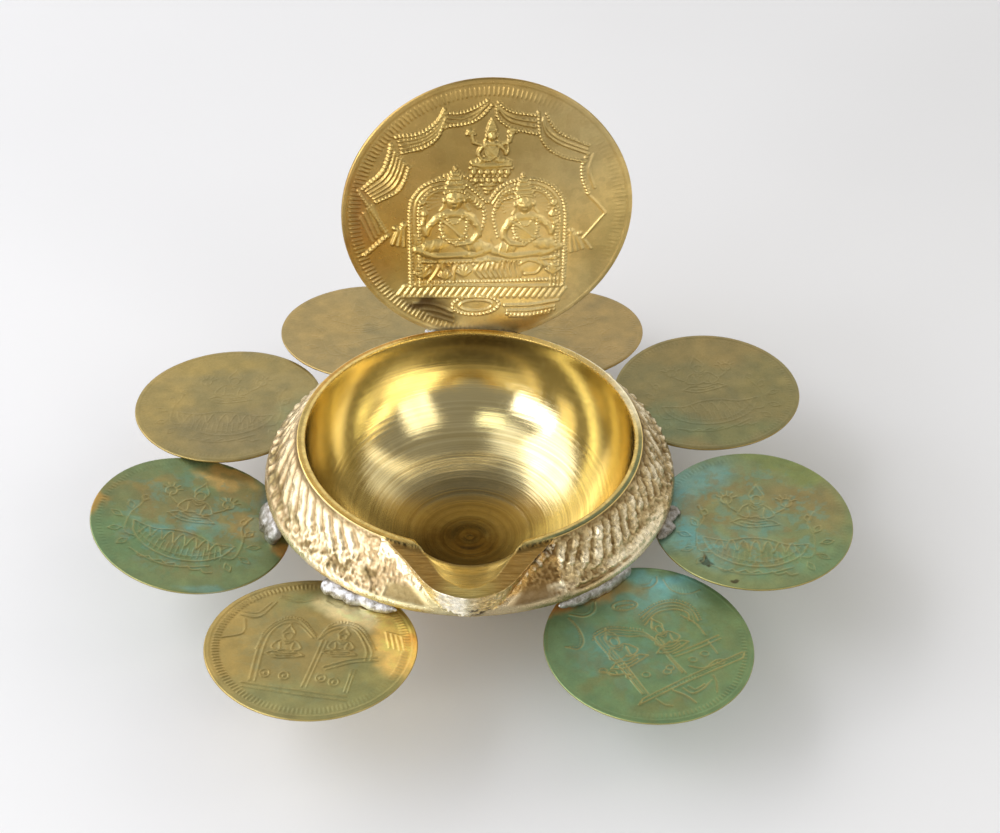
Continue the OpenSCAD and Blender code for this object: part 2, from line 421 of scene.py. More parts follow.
def turned_material(name, light, dark, gloss, ring_scale, bump, tarnish, floor_rough=None):
    """Brass turned about the bowl's axis: fine rings in its gloss and surface.

    With floor_rough it also gets a dark patch, bands and coarser tool marks near the floor.
    """
    m = Shader(name)
    place = m.place()
    x, y, z = m.add("SeparateXYZ", {0: place}).outputs

    def radius(a, b):
        return m.math("SQRT", m.plus(m.times(a, a), m.times(b, b)))

    along = m.out("CombineXYZ", {0: m.plus(radius(x, y), m.times(z, 1)), 1: m.times(z, 0)})
    rings = m.noise(along, scale=ring_scale, detail=4, rough=.75)
    wide_rings = m.noise(along, scale=ring_scale*.32, detail=2, rough=.5)
    broad = m.noise(place, scale=.16, detail=3, rough=.5)
    fine = m.noise(place, scale=.9, detail=4, rough=.6)
    colour = m.mix(light, m.remap(rings), dark)
    colour = m.dye(colour, m.remap(broad, span=(.42, .66), to=(0, .45)), by=(.93, .9, .8))
    colour = m.dye(colour, m.remap(fine, span=(.6, .8), to=(0, .22 + tarnish)),
                   by=(.78, .68, .48))
    rough = m.plus(m.remap(rings, to=(gloss*.75, gloss*1.3)),
                   m.remap(fine, span=(.45, .75), to=(0, .07)))
    height = m.plus(m.times(rings, .6), m.times(wide_rings, 1))
    if floor_rough is not None:
        # dark patch, a little off the axis, with a ragged edge
        reach = m.plus(radius(m.plus(x, 2), m.plus(y, 5)), m.remap(rings, to=(-1.4, 1.4)))
        patch = m.times(m.remap(reach, span=(7, 20), to=(1, 0)),
                        m.remap(fine, span=(.2, .8), to=(.86, 1)))
        patch = m.times(patch, m.remap(z, span=(9, 15), to=(1, 0)))
        colour = m.dye(colour, patch, by=(.19, .145, .085))
        bands = m.remap(m.plus(wide_rings, m.times(rings, .7)), span=(.72, .98), to=(0, .75))
        bands = m.times(bands, m.remap(z, span=(8, 17), to=(1, .15)))
        colour = m.dye(colour, bands, by=(.66, .6, .48))
        rough = m.plus(rough, m.times(m.remap(z, span=(5, 16), to=(1, 0)), floor_rough))
        height = m.times(height, m.remap(z, span=(4, 17), to=(3.4, 1)))
    return m.finish(Base_Color=colour, Metallic=1, Roughness=rough,
                    Normal=m.bump(height, strength=bump, depth=.05))


def floor_material():
    m = Shader("pale_floor")
    grain = m.noise(m.object_place, scale=9, detail=2, rough=.5)
    return m.finish(Base_Color=m.mix((.86, .86, .86), m.remap(grain), (.885, .885, .885)),
                    Roughness=.75, Specular_IOR_Level=.1)


SHEET = sheet_material()
CAST_BRASS = cast_material()
RIM_LAND = rim_material()
FILED_BRASS = filed_material()
SOLDER = solder_material()
TURNED_INSIDE = turned_material(
    "turned_inside", srgb(240, 225, 174), srgb(228, 208, 148), gloss=.11, ring_scale=2.2,
    bump=.3, tarnish=0, floor_rough=.07)
TURNED_UNDER = turned_material(
    "turned_underside", srgb(186, 158, 96), srgb(150, 124, 72), gloss=.33, ring_scale=1.6,
    bump=.5, tarnish=.3)

# -------------------------------------------------------------------- bowl
RIM_H, RIM_R, BORE_R = 29, 31.9, 30.3
FLANGE_Z, FLANGE_T = 20.05, .75
FLOOR_Z, FLOOR_R, FOOT_R, WALL_T = 2.8, 4, 14.5, 1.1
PROW_TOP = RIM_H - .4

# plan of the spout, outer and inner: (distance in front of the bowl's axis, half width)
SPOUT_OUTER = [(26.9, 16.4), (29.1, 14.2), (32.3, 11.8), (36.4, 9.2), (39, 7.5), (41, 5.6),
               (41.9, 3.8), (42.6, 2), (42.9, 0)]
SPOUT_INNER = [(24, 17), (27, 12.2), (29, 9.5), (32, 7.5), (34.5, 6.2), (37.6, 4.6),
               (39.4, 2.6), (40.2, 1.3), (40.5, 0)]
# outside of the bowl from the rim down to the flange's lip: (radius, height)
SHOULDER = [(RIM_R, RIM_H - .15), (RIM_R + .12, RIM_H - .8), (RIM_R + .5, RIM_H - 1.7),
            (RIM_R + 1.35, RIM_H - 2.9), (33.9, 25), (35, 23.7), (36.1, 22.5), (37.1, 21.5),
            (37.8, 20.9), (38.12, 20.35), (38.2, 19.95)]
# foot, from its outer edge to near the axis: (radius, height)
FOOT = [(FOOT_R - .6, 2.4), (FOOT_R, 1.4), (FOOT_R, .5), (FOOT_R - .12, .15),
        (FOOT_R - .5, 0), (11, .14), (7.5, .14), (4, .14), (1.2, 0)]
# mesh divisions: columns round the bowl, rows down each stretch
COLUMNS, WALL_ROWS, EDGE_ROWS, LAND_ROWS, SHOULDER_ROWS, UNDER_ROWS = 760, 32, 10, 9, 40, 12
# material slots
INSIDE, RIM, CAST, FILED, UNDER = range(5)


def column_angles():
    """Degrees from the spout, + towards +X, set closer round the spout."""
    share = np.linspace(0, 1, 4001)
    density = 1 + .32*np.cos(2*np.pi*(share - .5))
    total = np.concatenate([[0], np.cumsum((density[1:] + density[:-1])/2)])
    even = np.linspace(0, 1, COLUMNS, endpoint=False)
    return (np.interp(even, total/total[-1], share) - .5)*360


def spout_radius(outline, least, blur):
    """Outline's radius at each column, never under least, blurred by some degrees."""
    dense = spline(outline, 12)
    angle = np.degrees(np.arctan2(dense[:, 1], dense[:, 0]))
    radius = np.hypot(dense[:, 0], dense[:, 1])
    order = np.argsort(angle)
    grid = np.linspace(-60, 60, 2401)
    r = np.maximum(np.interp(np.abs(grid), angle[order], radius[order], right=least), least)
    kernel = np.exp(-.5*(np.arange(-60, 61)*.05/blur)**2)
    r = np.convolve(np.pad(r, 60, mode="edge"), kernel/kernel.sum(), mode="valid")
    return np.interp(ANGLE, grid, r, left=least, right=least)


ANGLE = column_angles()
AWAY, SIDE, LEFT = np.abs(ANGLE), np.sign(ANGLE), ANGLE < 0
HEADING = (ANGLE - 90)*DEG
ARC = AWAY*DEG*35  # mm from the spout's centre line along the shoulder
OUTER_R = spout_radius(SPOUT_OUTER, RIM_R, .55)
INNER_R = np.maximum(spout_radius(SPOUT_INNER[2:], BORE_R, .5), BORE_R)
JUT = OUTER_R - RIM_R
IN_CHANNEL = INNER_R - BORE_R > .25


def top_z(r):
    """Flat of the rim, stepping down to the spout's top."""
    return RIM_H - .38*ease(RIM_R - .1, RIM_R + .7, r)*(AWAY < 27)


def channel_z(r):
    """Floor of the spout's channel, sloping down into the bowl at 26 degrees."""
    x, y = np.abs(r*np.sin(ANGLE*DEG)), r*np.cos(ANGLE*DEG)
    tip = SPOUT_INNER[-1][0]
    half_width = np.interp(y, *np.array(SPOUT_INNER).T)
    depth = np.tan(26*DEG)*np.clip(tip - y, 0, 30)
    hollow = np.clip(1 - (x/np.maximum(half_width, .001))**2, 0, 1)
    z = top_z(r) - depth*hollow**.62
    return np.where(np.cos(ANGLE*DEG) > 0, z, RIM_H + 9)


def wall(a):
    """Inside of the wall, at angle a of its quarter ellipse."""
    return (FLOOR_R + (BORE_R - FLOOR_R)*np.sin(a),
            FLOOR_Z + (RIM_H - FLOOR_Z)*(1 - np.cos(a)))


def wall_end():
    """Wall angle, by column, where the wall meets the channel or the rim."""
    low, high = np.full(COLUMNS, 62*DEG), np.full(COLUMNS, 89.2*DEG)
    for _ in range(40):
        middle = (low + high)/2
        r, z = wall(middle)
        inside = z < channel_z(r)
        low = np.where(inside, middle, low)
        high = np.where(inside, high, middle)
    return low


def inner_rows():
    """Rows (radius, height, part) from the floor's centre to the rim's outer edge."""
    rows = []
    # floor with its turned nub
    for r in np.linspace(.5, FLOOR_R, 9):
        rows.append((r, FLOOR_Z + .17*ease(3.7, 2.7, r) - .12*ease(1.8, .4, r), INSIDE))
    # wall, with two shallow turned steps near the bottom
    end = wall_end()
    for k in range(1, WALL_ROWS + 1):
        a = end*k/WALL_ROWS
        r, z = wall(a)
        cut = .05*bell(r, 12.6, .5) + .035*bell(r, 7.4, .5)
        rows.append((r - cut*np.sin(a), z + cut*np.cos(a), INSIDE))
    # channel floor, or the small inner bevel away from the spout
    end_r, end_z = wall(end)
    inner = np.maximum(INNER_R, BORE_R + .05)
    deep = ease(.3, 1.2, INNER_R - BORE_R)
    for k in range(1, EDGE_ROWS + 1):
        t = k/EDGE_ROWS
        r = end_r + (inner + .02 - end_r)*t
        bevel = end_z + (RIM_H - end_z)*math.sin(t*math.pi/2)
        z = top_z(r) if k == EDGE_ROWS else bevel*(1 - deep) + channel_z(r)*deep
        rows.append((r, z, FILED))
    # flat of the rim and top of the spout
    for k in range(1, LAND_ROWS + 1):
        r = inner + (OUTER_R - .12 - inner)*k/LAND_ROWS
        rows.append((r, top_z(r) - .06*(k == LAND_ROWS), RIM))
    return rows


def leaf_band(fall, down):
    """Slanting leaf ribs, pebbled ground and a row of bosses round the shoulder.

    fall runs 0-1 down the shoulder, down is the same in mm.
    """
    # ribs run towards the spout as they go down
    pitch = np.where(LEFT, 3.45, 2.85)
    lean = np.where(LEFT, 10.5, 5.4)*fall + .5*np.sin(ARC*.21)
    place = (ARC + lean)/pitch + .42*(noise(points(ARC*.16, SIDE*5 + fall*1.4), 5) - .5)
    leaf = np.floor(place)
    off_vein = place - leaf - .5
    vary = lattice(leaf.astype(np.int64), (SIDE*3).astype(np.int64), 0, 9)
    half = np.where(LEFT, .4 + .1*vary, .3 + .16*vary)
    uneven = np.where(LEFT, .86 + .28*noise(points(ARC*.5, SIDE*7 + down*.3), 15),
                      .62 + .66*noise(points(ARC*.8, SIDE*7 + down*.45), 15))
    ends = band(fall, .05, .17, .56 + .12*vary, .7 + .12*vary)
    taper = .55 + .45*np.sin(np.clip((fall - .05)/.62, 0, 1)*math.pi)
    rib = np.clip(1 - (np.abs(off_vein)/half)**2, 0, 1)**.7*uneven
    ribs = np.where(LEFT, .66, .84)*rib*ends*taper*(.65 + .6*vary)
    vein = -.1*bell(off_vein, 0, .06)*ends
    # pebbles along the lower margin, and in patches along the upper one
    upper = .45*band(fall, .03, .05, .07, .14)*(noise(points(ARC*.5, SIDE*3), 8) > .45)
    pebbled = np.clip(band(fall, .5, .64, .84, .91) + upper, 0, 1)
    grains = np.where(LEFT, .26, .34)*pebble(ARC/.95 + SIDE*40, down/.95, 3)*pebbled
    # round bosses above the edge, clearest away from the spout
    gap = 2.55
    turn = ARC/gap + SIDE*.3
    across = (turn - np.floor(turn) - .5)*gap
    above = down - .8*down[-1]
    boss = .48*np.sqrt(np.clip(1 - across**2 - (above/.95)**2, 0, 1))*ease(70, 95, AWAY)
    return np.maximum(ribs, grains) + vein + boss*.9


def shoulder():
    """Cast shoulder and front of the spout, as arrays of rows by columns.

    Returns radius, height, relief, where the spout's front is, nearness to it, and fall.
    """
    curve = spline(SHOULDER, 10)
    along = lengths(curve)
    down = np.linspace(0, along[-1], SHOULDER_ROWS)
    r0, z0 = np.interp(down, along, curve[:, 0]), np.interp(down, along, curve[:, 1])
    dr, dz = np.gradient(r0, down), np.gradient(z0, down)
    slope = np.hypot(dr, dz)
    r0, z0, down, out_r, out_z = (v[:, None] for v in (r0, z0, down, -dz/slope, dr/slope))
    fall = down/along[-1]
    first = down == 0
    spot = points(np.cos(HEADING)*r0, np.sin(HEADING)*r0, z0)

    # front of the spout, raked in
    depth = PROW_TOP - np.minimum(z0, PROW_TOP)
    prow = OUTER_R - .02*first - depth*(.5 + .04*JUT/11)
    reach = (prow - r0)*np.clip(.35 + JUT*.5, 0, 1) - .6*(1 - np.clip(JUT/2, 0, 1))
    near = ease(-3, -.9, reach)*(JUT > .05)

    # where the leaf band begins, and the panels beside the spout
    ragged = noise(points(fall*6, SIDE*2), 4) - .5
    start = np.where(LEFT, ease(30, 43, AWAY + 5*ragged), ease(26.8, 29, AWAY + 2*ragged))
    patch = noise(points(ARC*.5, SIDE*3 + fall*4), 44) - .5
    low_panel = ease(.6, .68, fall + .12*patch)*ease(25, 21, AWAY + 5*patch)
    side_panel = ((ANGLE > 0)*ease(14, 17, AWAY)*ease(27.5, 25, AWAY + 2*patch)
                  * ease(.1, .24, fall))
    smooth_patch = ease(.66, .76, fall)*band(ANGLE, 36, 44, 66, 76)

    h = leaf_band(fall, down)*start + .2*bell(fall, .93, .045)
    # uneven cast ground
    h = h + .42*(fractal(spot*.75, 3, 21) - .5)*(.25 + .75*start)
    h = h + .16*(noise(spot*2.4, 31) - .5)*(.3 + .7*start)
    # coarser skin, mostly on the right
    coarse = (band(ANGLE, 20, 34, 95, 130)*.8
              + LEFT*band(AWAY, 30, 34, 50, 62)*ease(.25, .45, fall))
    coarse = np.clip(coarse, 0, 1)*(1 - .75*smooth_patch)
    h = h + coarse*(.34*(pebble(ARC/.8 + SIDE*11, down/.8, 23, .6) - .35)
                    + .3*(noise(spot*1.5, 33) - .5))
    # granular ground beside the panels
    granular = (1 - start)*(1 - low_panel)*(1 - .25*side_panel*(1 - near))
    h = h + granular*np.where(LEFT, .7, 1)*(
        .4*(pebble(ARC/.72 + SIDE*13, down/.72, 51, .6) - .35)
        + .26*(noise(spot*1.7, 52) - .5))
    # upright ridge right of the spout, a short one left of it
    h = h + .42*bell(ANGLE - 1.1*np.sin(fall*6), 27.4, .8)*band(fall, .25, .4, .93, .98)
    h = h + .25*bell(ANGLE + 2*(fall - .8), -23.5, .35)*band(fall, .7, .76, .88, .92)
    h = h + .35*near*(1 - start)*ease(.95, .85, fall)
    h = h*np.where(LEFT, .8, 1)*ease(0, .035, fall)*(1 - .78*ease(.885, .93, fall))
    # crevice above the thin lip, right of the spout
    crevice = bell(fall, .885, .018)*band(ANGLE, 29, 32, 50, 60)
    h = h - .75*crevice*(.5 + .9*noise(points(ANGLE*.35, 0), 6))
    r, z = r0 + out_r*h, z0 + out_z*h

    # casting ripples on the spout's front, and a soft join with the shoulder
    full = ease(.3, 1.4, JUT)
    ripple = (.22*(noise(points(ANGLE*.95, z0*.22), 12) - .5)
              + .34*(pebble(ARC/.62 + SIDE*9, down/.72, 14, .6) - .38)
              + .16*(noise(spot*1.9, 53) - .5))
    prow = prow + ripple*ease(0, .08, fall)*full
    on_prow = (full > 0) & (prow > r)
    join = .5
    fillet = np.clip(1 - ((prow - r)/join)**2, 0, 1)**2*join*.18
    outer = r + (np.maximum(prow, r) + fillet - r)*np.minimum(1, full*1.5)
    z = np.where(on_prow, np.minimum(z0, PROW_TOP - .04*first), z)
    relief = np.where(on_prow, .3 + ripple, h + .34*ease(.885, .93, fall) + .3*smooth_patch)
    return outer, z, relief, on_prow, near, fall


def under_rows(lip_r):
    """Rows (radius, height, part) from the flange's lip under to the foot's centre."""
    rows = [(lip_r - .02, FLANGE_Z - .3, CAST), (lip_r - .08, FLANGE_Z - .4, UNDER)]
    first = math.asin((FOOT_R + .8 - FLOOR_R - WALL_T)/(BORE_R - FLOOR_R))
    last = math.acos(1 - (FLANGE_Z - FLANGE_T - .25 - FLOOR_Z + WALL_T)/(RIM_H - FLOOR_Z))
    root_r = wall(last)[0] + WALL_T
    for t in (0, .3, .65, .93):
        rows.append(((lip_r - 1.7)*(1 - t) + (root_r + .3)*t, FLANGE_Z - FLANGE_T, UNDER))
    for a in np.linspace(last, first, UNDER_ROWS):
        r, z = wall(a)
        rows.append((r + WALL_T, z - WALL_T, UNDER))
    return rows + [(r, z, UNDER) for r, z in FOOT]


def bowl_tint(spot, r, parts):
    """Painted colour of every row and column, but for the shoulder's details."""
    # tone by side, which is painted light: paler towards the front left, darker towards the right
    # and round the back
    drift = ANGLE + 30*(fractal(spot*.12, 3, 40) - .5)
    tint = coat(srgb(206, 184, 138), ease(20, -30, drift), (244, 226, 188))
    for amount, rgb in (
            (ease(100, 150, AWAY), (200, 176, 126)),
            (band(ANGLE, 70, 86, 112, 135)*.7, (152, 130, 88)),
            (band(-ANGLE, 58, 78, 95, 120)*.8, (192, 170, 128))):
        tint = coat(tint, amount, rgb)
    # rim: bright inside, its outer band changing round the bowl; the pale at the right back and the
    # amber at the left back are painted reflection
    rim_inner = (244, 214, 134)
    bright = band(ANGLE, 88, 112, 158, 172)
    rim = srgb(190, 168, 104)
    for amount, rgb in (
            (band(ANGLE, 12, 30, 78, 104), (126, 130, 92)),
            (band(-ANGLE, 12, 30, 60, 100), (214, 174, 92)),
            (bright, (255, 240, 196)),
            (ease(96, 120, -ANGLE) + ease(165, 176, ANGLE), (206, 160, 84)),
            (1 - band(r, 30.85, 31.15, 31.62, 31.74), rim_inner),
            (bright*.8, (255, 246, 212))):
        rim = coat(rim, amount, rgb)
    spout_top = coat(srgb(186, 152, 88), ease(9, 3, AWAY), (214, 194, 122))
    land, edge = (parts == RIM)[:, None], (parts == FILED)[:, None]
    on_spout = (AWAY < 27) & (r > RIM_R + .1)
    for mask, colour in (
            (land & ~on_spout, rim), (land & on_spout, spout_top),
            (edge & IN_CHANNEL, srgb(232, 212, 142)), (edge & ~IN_CHANNEL, srgb(*rim_inner))):
        tint = np.where(mask[..., None], colour, tint)
    # dark pits where the rim meets the spout's top
    pits = bell(r, RIM_R + .15, .22)*between(AWAY, 13, 27)*land
    pits = pits*(noise(points(ANGLE*1.6, 0), 77) > .42)
    return tint*(1 - .9*pits)[..., None]


def shoulder_tint(tint, prow, near, fall, wisp):
    """Stains and worn places on the shoulder, and painted reflection on the spout's front."""
    ground = ~prow
    ragged = fall + .08*(wisp - .5)
    lip = ground*ease(.86, .91, fall)
    for amount, rgb in (
            (ground*band(ANGLE, 12, 15, 26, 29)*(1 - .35*ease(.6, .7, fall))*.85, (170, 138, 86)),
            (ground*between(ANGLE, 5, 27)*near*.9, (206, 164, 96)),
            (ground*between(ANGLE, 12, 27)*near*ease(.6, .2, fall)*ease(.35, .6, wisp),
             (96, 72, 42)),
            (ground*between(ANGLE, 5, 30)*ease(.7, .78, ragged), (208, 188, 150)),
            (ground*between(ANGLE, 22, 27)*band(fall, .66, .72, .76, .82), (250, 238, 206)),
            (ground*LEFT*ease(26, 21, -ANGLE)*ease(.6, .68, fall)*.85, (216, 204, 154)),
            (ground*(ANGLE < -26)*band(fall, .5, .6, .84, .9)*ease(.42, .62, wisp)
             * ease(130, 105, -ANGLE)*.75, (140, 124, 74)),
            (ground*band(ANGLE, 38, 46, 64, 74)*ease(.66, .8, ragged)*.85, (252, 238, 204)),
            (lip*(ANGLE > -1)*ease(34, 28, ANGLE)*.95, (176, 160, 126)),
            (lip*LEFT*ease(34, 26, -ANGLE)*.9, (184, 174, 136)),
            # spout's front, painted reflection: cream on the left, near-white at the tip, turning
            # golden to the right
            (prow*(ANGLE <= -12), (236, 216, 168)),
            (prow*band(ANGLE, -15, -8, -1, 4), (255, 244, 206)),
            (prow*band(ANGLE, -1, 4, 9, 12), (246, 216, 150)),
            (prow*ease(9, 12, ANGLE), (232, 190, 118)),
            (prow*ease(16, 20, ANGLE)*ease(.5, .1, fall)*ease(.35, .6, wisp), (84, 62, 34)),
            (prow*band(ANGLE, -.5, .5, 4.5, 6)*ease(.62, .72, fall)*ease(.4, .55, wisp)*.9,
             (60, 46, 26))):
        tint = coat(tint, amount, rgb)
    return tint


def bowl():
    inner = inner_rows()
    shoulder_r, shoulder_z, shoulder_relief, prow, near, fall = shoulder()
    cast = [(r, z, CAST) for r, z in zip(shoulder_r, shoulder_z)]
    rows = inner + cast + under_rows(shoulder_r[-1])
    r = np.array([np.broadcast_to(row[0], COLUMNS) for row in rows], float)
    z = np.array([np.broadcast_to(row[1], COLUMNS) for row in rows], float)
    parts = np.array([row[2] for row in rows])
    spot = points(r*np.cos(HEADING), r*np.sin(HEADING), z)
    ends = [[0, 0, FLOOR_Z + .22], [0, 0, 0]]
    quads, tris = tube_faces(len(rows), COLUMNS)
    # the bevel away from the spout belongs with the rim, and the spout's top is filed
    part = np.repeat(parts[1:, None], COLUMNS, axis=1)
    filed_top = (part == RIM) & (AWAY < 26.5) & ((r[:-1] + r[1:])/2 > RIM_R + .1)
    bevel = (part == FILED) & ~IN_CHANNEL
    part[filed_top] = FILED
    part[bevel] = RIM
    part = np.concatenate([part.ravel(), np.full(COLUMNS, INSIDE), np.full(COLUMNS, UNDER)])
    ob = build_mesh("bowl_cast", np.concatenate([spot.reshape(-1, 3), ends]), quads, tris, part)

    span = slice(len(inner), len(inner) + len(cast))
    wisp = noise(spot[span]*.9, 61)
    tint = bowl_tint(spot, r, parts)
    tint[span] = shoulder_tint(tint[span], prow, near, fall, wisp)
    end_tint = np.tile(srgb(205, 180, 118), (2, 1))
    add_tint(ob, np.concatenate([tint.reshape(-1, 3), end_tint]))
    relief = np.full(r.shape, .4)
    relief[span] = shoulder_relief
    add_float(ob, "relief", np.append(relief, [.4, .4]))
    # painted glint on the spout's front: a near-white, less metallic spot
    worn = np.zeros(r.shape)
    worn[span] = (prow*band(ANGLE + 1.5*(wisp - .5), -9.5, -6.5, -1.8, .2)
                  * (.55 + .45*ease(.3, .5, wisp)))
    add_float(ob, "worn", np.append(worn, [0, 0]))
    finish_piece(ob, "bowl", "cast_brass",
                 TURNED_INSIDE, RIM_LAND, CAST_BRASS, FILED_BRASS, TURNED_UNDER)


bowl()


# ------------------------------------------------------------------ relief
class Relief:
    """Relief stamped on a disc: x and y in disc radii, heights in millimetres.

    at() gives a view that draws on the same relief in a plan of its own. Places and radii
    go by the view's scale, line widths w by its pen and heights h by its height.
    """

    def __init__(self, x, y, h=None, centre=(0, 0), scale=1, height=1, turn=0, pen=1):
        self.x, self.y = x, y
        self.h = np.zeros_like(x) if h is None else h
        self.centre, self.scale, self.height = centre, scale, height
        self.turn, self.pen = turn, pen

    def at(self, x=0, y=0, scale=1, height=1, turn=0, pen=None):
        return Relief(self.x, self.y, self.h, self.place((x, y)), self.scale*scale,
                      self.height*height, self.turn + turn, pen or self.pen)

    def place(self, path):
        u, v = np.asarray(path, float).T*self.scale
        c, s = math.cos(self.turn*DEG), math.sin(self.turn*DEG)
        return np.stack([self.centre[0] + u*c - v*s, self.centre[1] + u*s + v*c], -1)

    def box(self, x0, x1, y0, y1):
        return np.nonzero((self.x > x0) & (self.x < x1) & (self.y > y0) & (self.y < y1))[0]

    def raise_to(self, where, value, add=False):
        if add:
            self.h[where] += value
        else:
            self.h[where] = np.maximum(self.h[where], value)

    def dome(self, x, y, rx, ry=None, h=1, turn=0, add=False, power=.5):
        x, y = self.place((x, y))
        rx, ry = rx*self.scale, (ry or rx)*self.scale
        r = max(rx, ry)
        m = self.box(x - r, x + r, y - r, y + r)
        q = 1 - ellipse(self.x[m] - x, self.y[m] - y, rx, ry, self.turn + turn)
        k = q > 0
        self.raise_to(m[k], h*self.height*q[k]**power, add)

    def stroke(self, path, w=1, h=1, end=None, add=False):
        """Round-backed line, straight from point to point; end is its width at the end."""
        path = self.place(path)
        w, end = w*self.pen, (end or w)*self.pen
        spans = len(path) - 1
        for i in range(spans):
            (ax, ay), (bx, by) = path[i], path[i + 1]
            wa = w + (end - w)*i/spans
            wb = w + (end - w)*(i + 1)/spans
            wide = max(wa, wb)
            m = self.box(min(ax, bx) - wide, max(ax, bx) + wide,
                         min(ay, by) - wide, max(ay, by) + wide)
            dx, dy = bx - ax, by - ay
            px, py = self.x[m] - ax, self.y[m] - ay
            t = np.clip((px*dx + py*dy)/(dx*dx + dy*dy + 1e-12), 0, 1)
            d = np.hypot(px - t*dx, py - t*dy)
            q = 1 - (d/(wa + (wb - wa)*t))**2
            k = q > 0
            self.raise_to(m[k], h*self.height*np.sqrt(q[k]), add)

    def lines(self, *paths, w=1, h=1, end=None):
        """Curved lines through the points of each path."""
        for path in paths:
            self.stroke(spline(path), w, h, end)

    def ring(self, x, y, rx, ry, w=1, h=1, turn=0, n=28):
        t = np.linspace(0, 360, n)*DEG
        c, s = math.cos(turn*DEG), math.sin(turn*DEG)
        ex, ey = rx*np.cos(t), ry*np.sin(t)
        self.stroke(np.stack([x + ex*c - ey*s, y + ex*s + ey*c], -1), w, h)

    def beads(self, *paths, r, gap, h=1, smooth=True):
        """Rows of beads along each path."""
        for path in paths:
            p = spline(path, 10) if smooth and len(path) > 2 else np.asarray(path, float)
            along = lengths(p)
            count = max(2, int(round(along[-1]/gap)) + 1)
            for t in np.linspace(0, along[-1], count):
                self.dome(np.interp(t, along, p[:, 0]), np.interp(t, along, p[:, 1]), r, h=h)

    def reeding(self, r0, r1, count, h, mask, duty=.55):
        """Radial reeds in a band; mask gives their strength by angle in radians."""
        r, angle = np.hypot(self.x, self.y), np.arctan2(self.y, self.x)
        m = np.nonzero((r > r0) & (r < r1))[0]
        edge = np.minimum(ease(r0, r0 + .02, r[m]), ease(r1, r1 - .02, r[m]))
        reed = np.clip((np.cos(angle[m]*count) + duty)/(1 + duty), 0, 1)**.8
        self.raise_to(m, h*reed*edge*mask(angle[m]))


def line_figure(f):
    """Seated figure in outline: cap, shoulders, arms and crossed legs."""
    f.lines([(-.2, 1.02), (-.3, 1.3), (-.06, 1.75), (0, 1.95), (.06, 1.75), (.3, 1.3),
             (.2, 1.02)],
            [(-.55, .55), (-.28, .72), (0, .6), (.28, .72), (.55, .55)],
            [(-.55, .55), (-.72, .1), (-.35, -.1), (.1, .02)],
            [(.55, .55), (.75, .12), (.35, -.12), (-.05, -.02)],
            [(-.35, .5), (-.3, 0), (-.5, -.25)], [(.35, .5), (.3, 0), (.5, -.25)],
            [(-1, -.42), (-.55, -.2), (0, -.34), (.6, -.2), (1, -.42)],
            [(-1, -.42), (-.4, -.68), (.3, -.6), (1, -.42)],
            [(-.6, -.42), (-.1, -.5), (.45, -.4)])
    f.ring(0, 1, .22, .27)
    pen = f.pen/f.scale
    f.beads([(-.24, .62), (0, .42), (.24, .62)], r=pen*1.1, gap=pen*2.2, h=1.1)
    for u in (-.45, 0, .45):
        f.dome(u, -.52, .1, h=.6)


